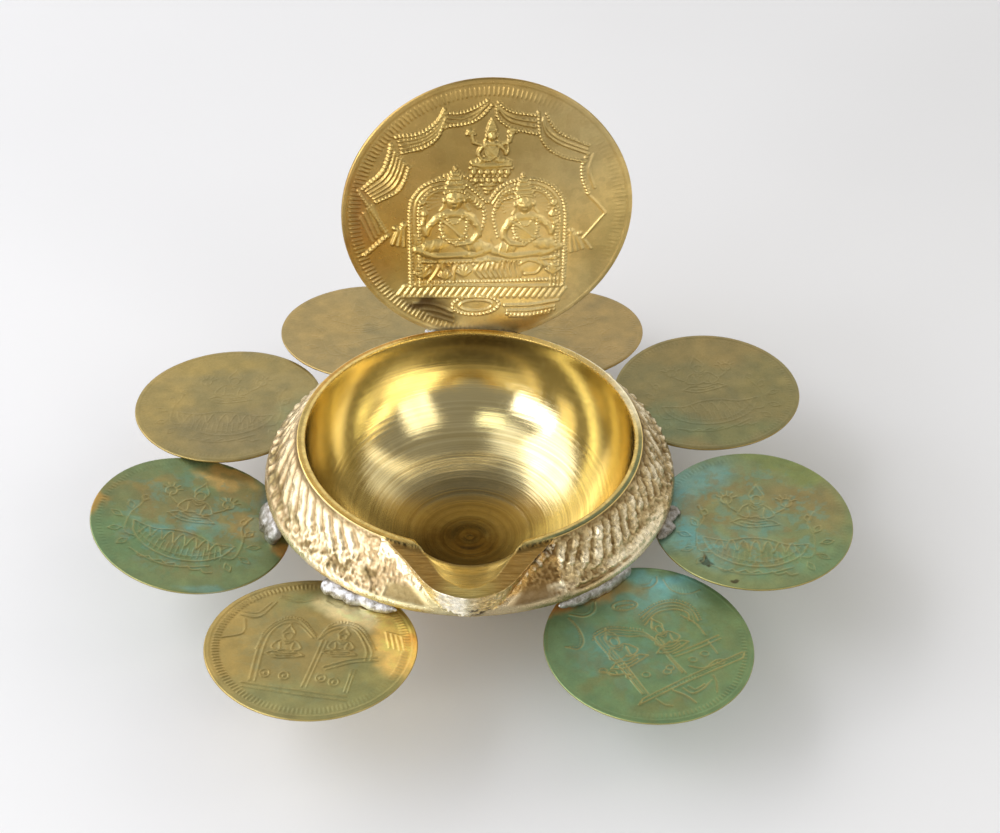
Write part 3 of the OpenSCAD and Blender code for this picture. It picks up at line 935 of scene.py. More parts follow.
def solid_figure(f, side=1):
    """Modelled seated figure; the raised hand with a bud is at +x when side is 1."""

    def sided(*path):
        return [(u*side, v) for u, v in path]

    # legs crossed on the seat, with folds of cloth
    f.dome(0, -.38, .98, .3, h=.5)
    for k in (-1, 1):
        f.dome(.52*k, -.33, .5, .19, h=.85, turn=-14*k)
        f.lines([(.92*k, -.42), (.45*k, -.6), (-.25*k, -.58)], w=.115, h=.9 - .08*k, end=.085)
        f.dome(-.34*k, -.58 - .03*k, .13, .07, h=.95)
        for q in (.28, .48, .68):
            f.stroke([(q*k, -.17), ((q + .1)*k, -.46)], w=.028, h=.2, add=True)
    f.beads([(-.86, -.74), (0, -.8), (.86, -.74)], r=.045, gap=.1, h=.8)
    # torso, garland and sash
    f.dome(0, .16, .37, .5, h=.95)
    f.lines([(-.42, .46), (-.18, .58), (.18, .58), (.42, .46)], w=.14, h=.9)
    f.lines([(-.4, .5), (-.05, .2), (.26, -.12)], w=.035, h=1.12)
    f.beads([(-.24, .6), (-.13, .4), (0, .33), (.13, .4), (.24, .6)], r=.042, gap=.085, h=1.28)
    f.beads([(-.33, .56), (-.3, .08), (0, -.22), (.3, .08), (.33, .56)], r=.05, gap=.1, h=1.22)
    f.beads([(-.34, -.06), (0, -.13), (.34, -.06)], r=.04, gap=.085, h=1.1)
    # one arm resting in the lap, the other raised with a flower bud
    f.lines(sided((-.44, .46), (-.6, .2), (-.62, 0)), w=.1, h=.95)
    f.lines(sided((-.62, .02), (-.45, -.2), (-.16, -.26)), w=.08, h=1.12, end=.065)
    f.dome(-.08*side, -.27, .1, .07, h=1.15)
    f.lines(sided((.44, .46), (.64, .22), (.7, .04)), w=.1, h=.95)
    f.lines(sided((.7, .04), (.8, .26), (.76, .5)), w=.08, h=1.05, end=.065)
    f.dome(.75*side, .6, .09, .1, h=1.15, turn=-f.turn)
    f.lines(sided((.75, .66), (.8, .82)), w=.03, h=.9)
    for q in (-28, 0, 28):
        f.dome(.81*side + .07*math.sin(q*DEG), .9 + .02*math.cos(q*DEG), .045, .1, h=1.05,
               turn=-q)
    for u, v in sided((-.56, .3), (-.4, -.2), (.58, .33), (.79, .34)):
        f.dome(u, v, .1, .045, h=.22, add=True)
    # locks falling beside the neck
    for k in (-1, 1):
        f.lines([(.245*k, .94), (.28*k, .8), (.36*k, .68)], w=.045, h=.6)
    # neck, head and face
    f.dome(0, .74, .11, .14, h=.8)
    f.dome(0, 1, .215, .3, h=1.5, power=.55)
    for k in (-1, 1):
        f.dome(.1*k, 1.03, .062, .034, h=-.26, add=True)
        f.dome(.1*k, 1.03, .036, .02, h=.2, add=True)
        f.dome(.255*k, .98, .05, .1, h=.95)
    f.stroke([(0, 1.07), (0, .96)], w=.03, h=.22, end=.045, add=True)
    f.dome(0, .885, .075, .022, h=-.2, add=True)
    f.dome(0, .86, .055, .022, h=.12, add=True)
    # tiered cap
    f.beads([(-.25, 1.2), (0, 1.27), (.25, 1.2)], r=.045, gap=.08, h=1.42)
    for k, (half, y) in enumerate(((.21, 1.34), (.165, 1.47), (.12, 1.6), (.07, 1.72))):
        f.lines([(-half, y), (half, y)], w=.07, h=1.15 - .05*k)
        f.beads([(-half, y - .02), (half, y - .02)], r=.038, gap=.078, h=1.42 - .05*k)
    f.dome(0, 1.86, .06, h=1.25)


def nimbus(f):
    """Ribbed glory behind a head, edged with beads."""
    inner, outer = .38, .62

    def fan(n):
        t = np.linspace(-25, 205, n)*DEG
        return np.stack([np.cos(t), np.sin(t)], -1)

    for ray in fan(19):
        f.lines([ray*inner, ray*outer], w=.035, h=.7)
    f.beads(fan(40)*(outer + .07), r=.05, gap=.105, smooth=False)


def emboss_front_left(relief):
    """Two outlined figures under a pair of arches, with sprays round them."""
    relief.reeding(.845, .935, 138, .13, lambda t: np.clip(
        ease(.1, .9, np.cos(t - 3)) + .9*ease(.75, 1, np.cos(t - .05)) + .45, 0, 1))
    relief.ring(0, 0, .955, .955, w=.012, h=.08, n=160)
    f = relief.at(height=.125, pen=.01)
    for d in (0, .055):
        f.lines([(-.6 + d*.1, -.53 - d), (-.1, -.615 - d), (.36, -.69 - d)])
    # double arches, beaded outside
    for k in (0, .05):
        f.lines([(-.53 + k, -.5), (-.49 + k, -.06), (-.42 + k*.8, .19), (-.27, .365 - k),
                 (-.12 - k*.3, .345 - k), (.04 - k*.6, .11)],
                [(.06 + k*.3, .1), (.16, .265 - k), (.3, .315 - k),
                 (.44 - k*.5, .23 - k*.3), (.57 - k, -.05), (.56 - k, -.22)])
    f.beads([(-.505, -.06), (-.435, .215), (-.27, .395), (-.11, .375), (.03, .16)],
            [(.09, .16), (.17, .31), (.31, .35), (.47, .25), (.6, -.05)],
            r=.013, gap=.031, h=1.25)
    # uprights and cross bar
    f.lines([(.105, .08), (.03, -.25), (-.045, -.56)], w=1.2)
    f.lines([(.145, .07), (.07, -.25), (-.005, -.57)],
            [(.16, -.33), (.4, -.235), (.63, -.21)], h=.8)
    f.lines([(.14, -.29), (.38, -.19), (.62, -.16)], w=1.3)
    line_figure(f.at(-.235, -.06, .185, turn=-4))
    line_figure(f.at(.275, -.04, .165, turn=-7))
    for x, y in ((-.4, -.4), (-.22, -.43), (.12, -.45), (.24, -.5)):
        f.ring(x, y, .045, .05, w=.8)
        f.dome(x, y, .02)
    f.lines([(.4, -.33), (.345, -.62)], [(.43, -.33), (.375, -.63)],
            [(-.34, .7), (-.17, .64), (.01, .69)], [(-.7, .42), (-.52, .4), (-.37, .63)],
            [(-.84, .08), (-.65, .16), (-.65, .36)], [(.1, .66), (.22, .58), (.36, .64)],
            [(.4, .62), (.47, .54), (.58, .55)], [(.69, .2), (.78, .17), (.88, .12)])
    f.lines([(-.33, .73), (-.17, .69), (0, .73)], [(-.68, .47), (-.54, .46), (-.42, .62)],
            w=.7, h=.7)
    # fan of curved ribs at the upper right, short bars below it
    for k in range(7):
        c, s = math.cos((205 - k*17)*DEG), math.sin((205 - k*17)*DEG)
        f.lines([(.735, .43), (.725 + .08*c, .43 + .09*s), (.735 + .145*c, .43 + .165*s)], w=.9)
    for k in range(4):
        f.lines([(.7 + .048*k, .19 - .02*k), (.735 + .05*k, -.02 - .02*k)], w=1.25, h=1.1)


def emboss_front_right(relief):
    """Two outlined figures under arches, tilted, on a slanting base bar."""
    relief.reeding(.875, .945, 138, .1, lambda t: ease(.2, .9, np.cos(t + .75))*.9 + .12)
    relief.ring(0, 0, .962, .962, w=.01, h=.07, n=160)
    f = relief.at(height=.15, pen=.0108)
    # base bar
    for d in (0, .075):
        f.lines([(-.14 + d*.55, -.775 + d), (.36 + d*.4, -.46 + d), (.875, -.165 + d)])
    f.beads([(-.09, -.705), (.38, -.42), (.86, -.125)], r=.012, gap=.034, h=.7)
    # triple arches, beaded outside
    for k, h in ((0, 1), (.045, .7), (.09, 1)):
        f.lines([(-.1 + k*.6, -.64), (-.3 + k*.8, -.3), (-.5 + k, .02), (-.485 + k, .095),
                 (-.355 + k*.3, .165 - k*.8), (-.17, .155 - k*.8), (-.03, .13 - k*.5),
                 (.075, .01)],
                [(-.06 + k*.4, .325 - k), (.09, .475 - k), (.275 - k*.1, .535 - k),
                 (.43 - k*.4, .455 - k*.6), (.495 - k, .3)], h=h)
    f.beads([(-.53, .03), (-.5, .125), (-.36, .2), (-.17, .19), (-.05, .17)],
            [(-.07, .365), (.08, .51), (.28, .57), (.45, .49), (.52, .32)],
            r=.012, gap=.03, h=1.2)
    line_figure(f.at(-.235, -.17, .2, turn=27))
    line_figure(f.at(.19, .02, .175, turn=27))
    f.ring(-.205, .48, .125, .062, turn=12)
    f.beads([(-.31, .455), (-.205, .425), (-.1, .475)],
            [(-.71, .27), (-.655, .11), (-.66, -.04), (-.75, -.06)], r=.011, gap=.03)
    f.lines([(-.14, -.775), (-.1, -.7)], [(.875, -.165), (.9, -.09)],
            [(.035, .08), (.16, -.15), (.29, -.36)], [(.22, -.13), (.45, -.01), (.67, .12)],
            [(.555, .055), (.64, -.11)], [(.33, .37), (.47, .26), (.545, .12)],
            [(-.74, .355), (-.6, .33), (-.505, .4), (-.49, .53)],
            [(.19, .83), (.25, .71), (.345, .655), (.45, .66), (.54, .71)],
            [(-.01, .71), (.07, .735), (.125, .8), (.13, .87)],
            [(.58, -.39), (.6, -.48), (.595, -.6)],
            [(.28, -.56), (.36, -.62), (.46, -.57), (.555, -.45)],
            [(-.46, -.37), (-.34, -.41), (-.24, -.4), (-.14, -.46)],
            [(.36, -.28), (.5, -.3), (.62, -.2), (.72, -.19)])
    f.lines([(.07, .06), (.195, -.17), (.325, -.37)],
            [(.24, -.165), (.47, -.05), (.69, .08)], h=.85)
    f.lines([(-.28, .465), (-.205, .485), (-.13, .495)], h=1.1)
    f.lines([(-.7, .385), (-.6, .37), (-.545, .42), (-.53, .52)], w=.7, h=.6)
    f.lines([(-.75, .31), (-.66, .17), (-.62, .01), (-.675, -.09), (-.79, -.065)],
            [(.185, -.59), (.3, -.65), (.39, -.735)], w=1.1)
    for k in range(9):
        x = .245 + .032*k
        f.lines([(x, .8 - .018*k), (x + .012, .7 - .01*k)], w=.55, h=.5)
    f.lines([(-.02, .76), (.05, .785), (.085, .84)], w=.7, h=.7)
    f.lines([(.33, -.53), (.4, -.57), (.49, -.5)], w=.8)
    f.lines([(.02, -.7), (.1, -.77), (.17, -.78)], w=.9, h=.8)
    for x, y in ((.15, -.36), (.18, -.31), (-.45, -.36), (-.36, -.39), (-.2, -.43),
                 (-.05, -.4), (.4, -.2), (.52, -.12), (.66, -.22)):
        f.ring(x, y, .038, .03, w=.7, h=.9)


def emboss_lotus(relief, x=0, y=0, turn=0):
    """Outlined figure on a broad open lotus, with leafy sprays at its sides."""
    relief.reeding(.88, .95, 132, .06, lambda t: .35 + .5*ease(.2, 1, np.cos(t - 2.6)))
    f = relief.at(x, y, height=.115, turn=turn, pen=.0096)
    # lotus bowl with its ribs and petals
    f.lines([(-.52, -.18), (-.47, -.34), (-.33, -.48), (-.12, -.56), (.1, -.565),
             (.3, -.49), (.45, -.36), (.52, -.2)], w=1.2)
    f.lines([(-.46, -.2), (-.41, -.33), (-.28, -.43), (-.1, -.49), (.1, -.495),
             (.26, -.43), (.39, -.32), (.46, -.22)], w=.8, h=.8)
    f.lines([(-.52, -.18), (-.3, -.22), (-.08, -.165), (.12, -.17), (.32, -.23), (.52, -.2)],
            [(-.44, -.58), (-.24, -.66), (-.05, -.685), (.16, -.64), (.36, -.55)])
    for k in range(17):
        u = -.44 + .055*k
        v = -.47 + .33*abs(u)**1.6
        f.lines([(u, v - .055), (u*.97, v + .03), (u*.93, v + .1)], w=.7, h=.8)
    for k in range(7):
        u = -.36 + .12*k
        foot = -.36 + .2*u*u
        f.lines([(u - .055, foot), (u - .03, -.25), (u, -.205), (u + .03, -.25),
                 (u + .055, foot)], w=.9)
    for k in range(6):
        u = -.36 + .13*k
        low = 1 - abs(u)
        f.lines([(u, -.6 - .03*low), (u + .05, -.645 - .02*low), (u + .12, -.62 - .02*low)])
    line_figure(f.at(0, .16, .24, height=.95))
    for side in (-1, 1):
        # rayed flower beside the shoulder
        u0, v0 = side*.3, .38
        f.ring(u0, v0, .055, .06, turn=-turn)
        f.lines([(side*.2, .22), (side*.29, .3), (u0, .36)])
        for k in range(5):
            a = (90 + side*(-60 + 30*k))*DEG
            c, s = math.cos(a), math.sin(a)
            f.lines([(u0 + .06*c, v0 + .06*s), (u0 + .12*c, v0 + .12*s)], w=.9)
        # leaves: x, y, heading, length
        for u, v, a, long in ((.58, -.03, 60, .13), (.64, -.17, 20, .14), (.6, -.33, -25, .14),
                              (.5, -.46, -55, .13), (.52, .12, 95, .11)):
            c, s = math.cos(a*DEG), math.sin(a*DEG)
            base, tip = (side*u, v), (side*(u + long*c), v + long*s)
            for b in (-.032, .032):
                bulge = (side*(u + long*.5*c - b*s), v + long*.5*s + b*c)
                f.lines([base, bulge, tip], w=.8)
            f.lines([base, tip], w=.5, h=.6)
        f.lines([(side*.42, -.4), (side*.56, -.36), (side*.58, -.1), (side*.52, .1),
                 (side*.58, .28)], h=.9)


def rubbed_lotus(seed):
    """The lotus stamping, nearly worn away; the seed turns it."""
    def emboss(relief):
        relief.reeding(.885, .945, 132, .045, lambda t: .4 + .6*noise(points(t*1.2, 0, seed), seed))
        relief.ring(0, 0, .962, .962, w=.01, h=.05, n=140)
        lotus = Relief(relief.x, relief.y)
        emboss_lotus(lotus, turn=(seed*37) % 50 - 25)
        rubbed = lotus.h*.42*ease(.9, .8, np.hypot(relief.x, relief.y))
        np.maximum(relief.h, rubbed, out=relief.h)
    return emboss


def plate_hangings(f):
    """Beaded swags and pennants with plain folds, the right half more rubbed."""
    bead = .0125
    thirds = (.33, .66)
    f.beads([(0, .84), (-.1, .785), (-.18, .762), (-.27, .765)],
            [(.03, .81), (-.04, .73), (-.13, .685), (-.27, .67)], r=bead, gap=.0245)
    for t in thirds:
        f.lines([(.01, .825), (-.09, .775 - .075*t), (-.18, .745 - .07*t),
                 (-.27, .765 - .095*t)], w=.008, h=.6)
    f.beads([(-.285, .79), (-.34, .7), (-.45, .625), (-.61, .605)],
            [(-.285, .72), (-.33, .6), (-.42, .525), (-.57, .49)],
            [(-.53, .375), (-.565, .27), (-.62, .195), (-.755, .13)], r=bead*1.15, gap=.026)
    f.beads([(-.285, .79), (-.285, .66)], r=bead, gap=.025, h=.9)
    for t in (.25, .5, .75):
        f.lines([(-.285, .79 - .07*t), (-.335, .7 - .1*t), (-.44, .625 - .1*t),
                 (-.6 + .03*t, .6 - .11*t)], w=.009, h=.65)
    f.beads([(-.645, .55), (-.67, .44), (-.72, .34), (-.845, .235)], r=bead*1.25, gap=.028)
    for t in (.2, .4, .6, .8):
        f.lines([(-.64 + .1*t, .54 - .15*t), (-.665 + .09*t, .43 - .15*t),
                 (-.72 + .09*t, .33 - .13*t), (-.845 + .09*t, .235 - .1*t)], w=.009, h=.7)
    f.beads([(-.645, .56), (-.6, .46), (-.55, .4)], r=.01, gap=.023, h=.8)
    f.lines([(-.875, .225), (-.69, -.13)], w=.011, h=.7)
    f.beads([(-.865, .2), (-.7, -.1)], r=bead*.9, gap=.024, h=.9)
    f.beads([(-.69, -.135), (-.845, -.27)], r=bead*1.35, gap=.03)
    for k in range(4):
        f.lines([(-.872 + .028*k, .02 + .03*k), (-.792 + .022*k, -.175 + .028*k)],
                w=.0085, h=.55)
    # right half
    f.beads([(.075, .825), (.13, .775), (.2, .745), (.32, .725)], r=bead*.95, gap=.0245, h=.8)
    f.beads([(.06, .8), (.075, .71), (.17, .635), (.33, .59)], r=bead*.95, gap=.0245, h=.85)
    f.beads([(.34, .745), (.345, .66), (.36, .56), (.42, .47), (.52, .41), (.66, .37)],
            r=bead, gap=.0255, h=.8)
    f.beads([(.395, .73), (.43, .655), (.5, .58), (.68, .49)], r=bead*.85, gap=.0245, h=.6)
    for t in thirds:
        f.lines([(.07, .82 - .05*t), (.13, .765 - .09*t), (.21, .735 - .1*t),
                 (.32, .72 - .12*t)], w=.008, h=.55)
        f.lines([(.38 - .02*t, .72 - .05*t), (.42 - .03*t, .63 - .07*t), (.5, .565 - .09*t),
                 (.67, .485 - .08*t)], w=.008, h=.45)
    f.beads([(.675, .425), (.645, .34), (.65, .24), (.69, .13)], r=bead, gap=.0255, h=.65)
    f.lines([(.72, .43), (.69, .3), (.73, .17)], w=.008, h=.35)
    f.lines([(.68, .13), (.76, .04), (.81, -.03)], w=.009, h=.3)
    f.stroke([(.81, -.03), (.66, -.22), (.72, -.31)], w=.008, h=.4)


def plate_top_figure(f):
    """Small figure at the top, on a tiered lotus stand."""
    solid_figure(f.at(.026, .448, .141, .95, -1, pen=.141))
    for side in (-1, 1):
        x = .028
        f.stroke([(x + side*.07, .525), (x + side*.122, .545), (x + side*.135, .6)],
                 w=.014, h=.8)
        f.dome(x + side*.14, .625, .03, .019, h=.8)
        f.beads([(x + side*.112, .606), (x + side*.165, .606)], r=.01, gap=.02, h=.8)
    f.lines([(-.1, .378), (.155, .368)], w=.014, h=.95)
    f.lines([(-.118, .352), (.168, .342)], w=.01, h=.7)
    for k in range(6):
        f.dome(-.095 + .046*k, .322 - .002*k, .022, .026)
    f.beads([(-.108, .292), (.125, .283)], r=.014, gap=.03, h=.85)
    for k in range(5):
        f.dome(-.078 + .042*k, .258 - .002*k, .02, .022, h=.95)
    for x, y, rx, ry in ((.004, .222, .06, .018), (.004, .192, .038, .018),
                         (-.002, .165, .022, .015)):
        f.dome(x, y, rx, ry, h=.8)


def plate_arches(f):
    """Double arch of alternating beaded and plain lines."""
    for off, beaded in ((0, True), (.034, False), (.062, True), (.085, False)):
        left = [(-.535 + off, -.54), (-.535 + off, -.2), (-.53 + off, .06),
                (-.485 + off*.9, .18 - off*.4), (-.39 + off*.5, .255 - off*.8),
                (-.265, .275 - off), (-.15 - off*.3, .235 - off*.9),
                (-.01 - off*.6, .095 - off*.6)]
        right = [(.01 + off*.7, .095 - off*.6), (.1 + off*.2, .205 - off*.8),
                 (.25, .255 - off), (.395 - off*.4, .225 - off*.8),
                 (.495 - off*.9, .13 - off*.4), (.535 - off, 0), (.535 - off, -.25),
                 (.53 - off, -.58)]
        if beaded:
            f.beads(left, r=.0125, gap=.0265)
            f.beads(right, r=.0125, gap=.0265, h=.95)
        else:
            f.lines(left, right, w=.0095, h=.6)


def plate_large_figures(relief, f):
    """The two larger figures on swelled grounds, with beads and sash ends beside them."""
    relief.dome(-.25, -.04, .3, .35, h=.2, power=.35)
    relief.dome(.275, -.07, .28, .33, h=.18, power=.35)
    nimbus(f.at(-.235, .13, .262, .55, pen=.262))
    nimbus(f.at(.262, .075, .235, .5, pen=.235))
    solid_figure(f.at(-.235, -.15, .272, 1.12, -2, pen=.272), side=-1)
    solid_figure(f.at(.265, -.178, .248, 1.02, 3, pen=.248))
    f.beads([(-.48, .02), (-.46, .13), (-.4, .2)], r=.01, gap=.022, h=.6)
    f.beads([(-.07, -.2), (-.02, -.02), (-.06, .1), (-.16, .14)], r=.013, gap=.028, h=.85)
    f.beads([(.07, -.18), (.04, -.02), (.09, .09), (.17, .12)], r=.012, gap=.027, h=.8)
    f.beads([(.47, -.2), (.5, -.05), (.46, .08)], r=.011, gap=.024, h=.7)
    f.lines([(-.44, -.22), (-.4, -.31), (-.33, -.35), (-.315, -.42)], w=.022, h=.75, end=.014)
    f.lines([(-.5, -.14), (-.46, -.26), (-.36, -.32)], w=.013, h=.7)
    f.lines([(-.13, -.3), (-.07, -.37), (0, -.35)], w=.016, h=.7)
    f.lines([(.42, -.26), (.36, -.34), (.4, -.42)], w=.018, h=.65)
    f.lines([(.1, -.3), (.16, -.35), (.24, -.33), (.3, -.37)], w=.014, h=.65)


def plate_base(f):
    """Bench with its cloth, rope-twist base, and the medallion and bands under it."""
    f.lines([(-.47, -.352), (.47, -.368)], w=.013, h=.6)
    for k in range(9):
        f.lines([(-.06 + .034*k, -.385), (-.085 + .038*k, -.44), (-.045 + .034*k, -.5)],
                w=.0115, h=.75 - .03*k)
    f.dome(.3, -.43, .085, .055, h=.65, turn=10)
    f.lines([(.22, -.4), (.29, -.37), (.37, -.41), (.34, -.47), (.26, -.48)], w=.013, h=.8)
    # rayed tufts: x, y, size
    for x, y, r in ((-.455, -.44, .05), (-.3, -.46, .035), (-.17, -.44, .042),
                    (.455, -.45, .042)):
        f.dome(x, y - .01, r*1.05, r*.8, h=.6)
        for a in (-62, -31, 0, 31, 62):
            f.lines([(x, y - .035), (x + r*1.25*math.sin(a*DEG),
                                     y - .035 + r*1.75*math.cos(a*DEG))], w=.0115, h=.8)
    f.lines([(-.4, -.5), (-.36, -.44), (-.34, -.4)], w=.01, h=.6)
    f.lines([(-.24, -.5), (-.235, -.44), (-.22, -.39)], w=.012, h=.7)
    f.beads([(-.49, -.515), (0, -.53), (.49, -.54)], r=.011, gap=.025, h=.65, smooth=False)
    for k in range(16):
        f.dome(-.46 + .061*k, -.385 - .001*k, .016, .012, h=.45)
    # rope twist between two lines
    for k in range(26):
        x, y = -.6 + .045*k, -.555 - .01*k/3
        f.lines([(x - .022, y - .045), (x + .022, y + .018)], w=.015, h=.62 - .012*k)
    f.lines([(-.605, -.62), (0, -.66)], w=.01, h=.6)
    f.lines([(-.53, -.53), (.52, -.595)], w=.009, h=.6)
    # medallion and bands below
    round_ = np.linspace(0, 2*math.pi, 25)
    f.beads([(-.085 + .165*math.cos(a), -.72 + .075*math.sin(a)) for a in round_],
            r=.012, gap=.027, h=.75, smooth=False)
    f.ring(-.085, -.72, .115, .045, w=.009, h=.5)
    for k in range(3):
        f.lines([(.12 + .02*k, -.73 - .045*k), (.3, -.735 - .045*k),
                 (.5 - .03*k, -.715 - .05*k)], w=.0105, h=.55)
        f.lines([(-.52 + .05*k, -.68 - .05*k), (-.38 + .02*k, -.7 - .055*k),
                 (-.25, -.765 - .04*k)], w=.0085, h=.35)
    f.beads([(.14, -.8), (.3, -.815), (.47, -.79)], r=.012, gap=.027, h=.7)
    # tassels at the sides of the arch
    for side, x, y, strength in ((-1, -.575, -.09, 1), (1, .575, -.19, .6)):
        for k in range(3):
            f.lines([(x + side*.02*k, y + .02 - .01*k),
                     (x + side*(.005 + .038*k), y - .13 + .01*k)], w=.013, h=.85*strength)
        f.dome(x, y + .03, .024, h=.9*strength)
        f.dome(x + side*.06, y + .01, .018, h=.8*strength)


def emboss_plate(relief):
    relief.reeding(.868, .952, 182, .2, lambda t: np.clip(
        .12 + 1.15*ease(-.35, .45, .35*np.sin(t) - np.cos(t)), 0, 1), duty=-.22)
    relief.ring(0, 0, .972, .972, w=.01, h=.07, n=200)
    f = relief.at(height=.55)
    plate_hangings(f)
    plate_top_figure(f)
    plate_arches(f)
    plate_large_figures(relief, f)
    plate_base(f)


# ------------------------------------------------------------------- discs
DISC_R, DISC_T = 18.25, .5
# azimuth, reach, height, droop, roll; mm and degrees, azimuth from +X
DISC_PLACES = {
    "front_left": (-121.6, 51.4, 17.9, -5.6, -1.6),
    "front_right": (-53, 51.7, 16.2, 1.7, .1),
    "left": (-166.4, 52.4, 17.3, -10, 1.3),
    "right": (-13.9, 53.3, 19.1, -1.4, -.8),
    "rear_left": (155.2, 52.1, 17.7, 2.8, -2.2),
    "rear_right": (28.4, 52.9, 18.7, -2.1, 2.2),
    "back_left": (113.9, 51.1, 16.9, 5.4, -3),
    "back_right": (70.3, 51.4, 15, 4.9, 6.7),
}


def rotation(axis, degrees):
    return np.array(Matrix.Rotation(degrees*DEG, 3, axis))


def disc_place(key):
    """Maps a disc's own plan, drawn with +y away from the viewer, to its place."""
    azimuth, reach, z, droop, roll = DISC_PLACES[key]
    out = rotation("Z", azimuth)
    m = out @ rotation("Y", droop) @ rotation("X", -roll) @ rotation("Z", -azimuth)
    return lambda p: p @ m.T + out @ np.array([reach, 0, z])


def plate_place(p):
    """Stands the plate up behind the bowl, leaning back."""
    m = rotation("Z", 4.9) @ rotation("X", 90 - 5.9)
    return p @ m.T + np.array([3.1, 35.6, 53.7])


def disc_grid(n, radius):
    """Square grid of n x n cells mapped to a disc: x, y, quads and its boundary in order."""
    a = np.linspace(-1, 1, n + 1)
    u, v = (g.ravel() for g in np.meshgrid(a, a, indexing="ij"))
    r = np.maximum(np.abs(u), np.abs(v))
    wide = np.abs(u) > np.abs(v)
    angle = np.where(wide, (math.pi/4)*(v/np.where(u == 0, 1, u)),
                     math.pi/2 - (math.pi/4)*(u/np.where(v == 0, 1, v)))
    sign = np.where(wide, np.sign(u), np.sign(v))
    x, y = r*np.cos(angle)*sign, r*np.sin(angle)*sign
    k = np.arange(n)
    corner = (k[:, None]*(n + 1) + k).ravel()
    quads = np.stack([corner, corner + n + 1, corner + n + 2, corner + 1], -1)
    ring = np.concatenate([k*(n + 1), n*(n + 1) + k, (n - k)*(n + 1) + n, n - k])
    return x*radius, y*radius, quads, ring


def stamped_disc(name, place, radius, thick, cells, emboss, warp, edge, back):
    """Stamped sheet disc: relief on the front, softer behind, with a thin edge.

    Returns the object, each vertex's x and y in radii, its relief, and its side:
    0 front, 0.5 edge, 1 back.
    """
    x, y, quads, ring = disc_grid(cells, radius - edge)
    back_x, back_y, back_quads, back_ring = disc_grid(cells//2, radius - edge)
    relief = Relief(x/radius, y/radius)
    emboss(relief)
    soft = relief.h.reshape(cells + 1, cells + 1).copy()
    for _ in range(3):
        soft[1:-1, 1:-1] = (soft[1:-1, 1:-1]*2 + soft[:-2, 1:-1] + soft[2:, 1:-1]
                            + soft[1:-1, :-2] + soft[1:-1, 2:])/6
    under = soft[::2, ::2].ravel()*back
    front_count, edge_count = len(x), len(ring)
    angle = np.arctan2(y[ring], x[ring])
    x = np.concatenate([x, radius*np.cos(angle), back_x])
    y = np.concatenate([y, radius*np.sin(angle), back_y])
    x_share, y_share = x/radius, y/radius
    z = np.concatenate([relief.h + thick/2, np.zeros(edge_count), under - thick/2])
    z = z + warp(x_share, y_share)
    # the front meets the edge with quads; the back has half as many steps, so triangles
    k = np.arange(edge_count)
    k1 = (k + 1) % edge_count
    strip = np.stack([ring[k], front_count + k, front_count + k1, ring[k1]], -1)
    j = np.arange(len(back_ring))
    back_start = front_count + edge_count
    b0, b1 = back_start + back_ring, back_start + np.roll(back_ring, -1)
    e0, e1, e2 = (front_count + (2*j + step) % edge_count for step in (0, 1, 2))
    tris = np.concatenate([np.stack(t, -1) for t in ((e0, b0, e1), (e1, b0, b1), (e1, b1, e2))])
    quads = np.concatenate([quads, strip, (back_quads + back_start)[:, ::-1]])
    ob = build_mesh(name, place(points(x, y, z)), quads, tris)
    heights = np.concatenate([relief.h, np.zeros(edge_count + len(under))])
    add_float(ob, "relief", heights)
    side = np.repeat([0, .5, 1], [front_count, edge_count, len(under)])
    return ob, x_share, y_share, heights, side


def paint(x, y, base, tarnish, stains_and_light, seed, wander=.1, fine=.5):
    """Base colour with soft stains and patches of painted light whose outlines wander, and the
    tarnish amount.

    A stain or patch of painted light is x, y, radii, turn, colour, tarnish, strength and, unless
    0.5, softness.
    """
    p = points(x*3, y*3, seed*3.1)
    px = x + (fractal(p, 4, seed) - .5)*wander*4.4
    py = y + (fractal(p + 31.3, 4, seed + 5) - .5)*wander*4.4
    colour = np.tile(srgb(*base), (len(x), 1))
    tarnish = np.full(len(x), float(tarnish))
    for cx, cy, rx, ry, turn, rgb, stain_tarnish, strength, *softness in stains_and_light:
        soft = softness[0] if softness else .5
        reach = np.sqrt(ellipse(px - cx, py - cy, rx, ry, turn))
        amount = ease(1 + soft, 1 - soft, reach)*strength
        colour = coat(colour, amount, rgb)
        tarnish = tarnish*(1 - amount) + stain_tarnish*amount
    vary = (fractal(points(x*7, y*7, seed), 4, seed + 9) - .5)*fine
    return colour*(1 + vary[:, None]*np.array([1, .8, .6])), tarnish


def gentle_bend(along_x, along_y, twist, seed):
    """Bends and twist in mm, plus slight hand dents."""
    def warp(x, y):
        dents = noise(points(x*1.3 + 5, y*1.3 + 5, seed), seed) - .5
        return (along_x*(x*x - .33) + along_y*(y*y - .33) + twist*x*y
                + .18*dents*np.minimum(1, (x*x + y*y)*2))
    return warp


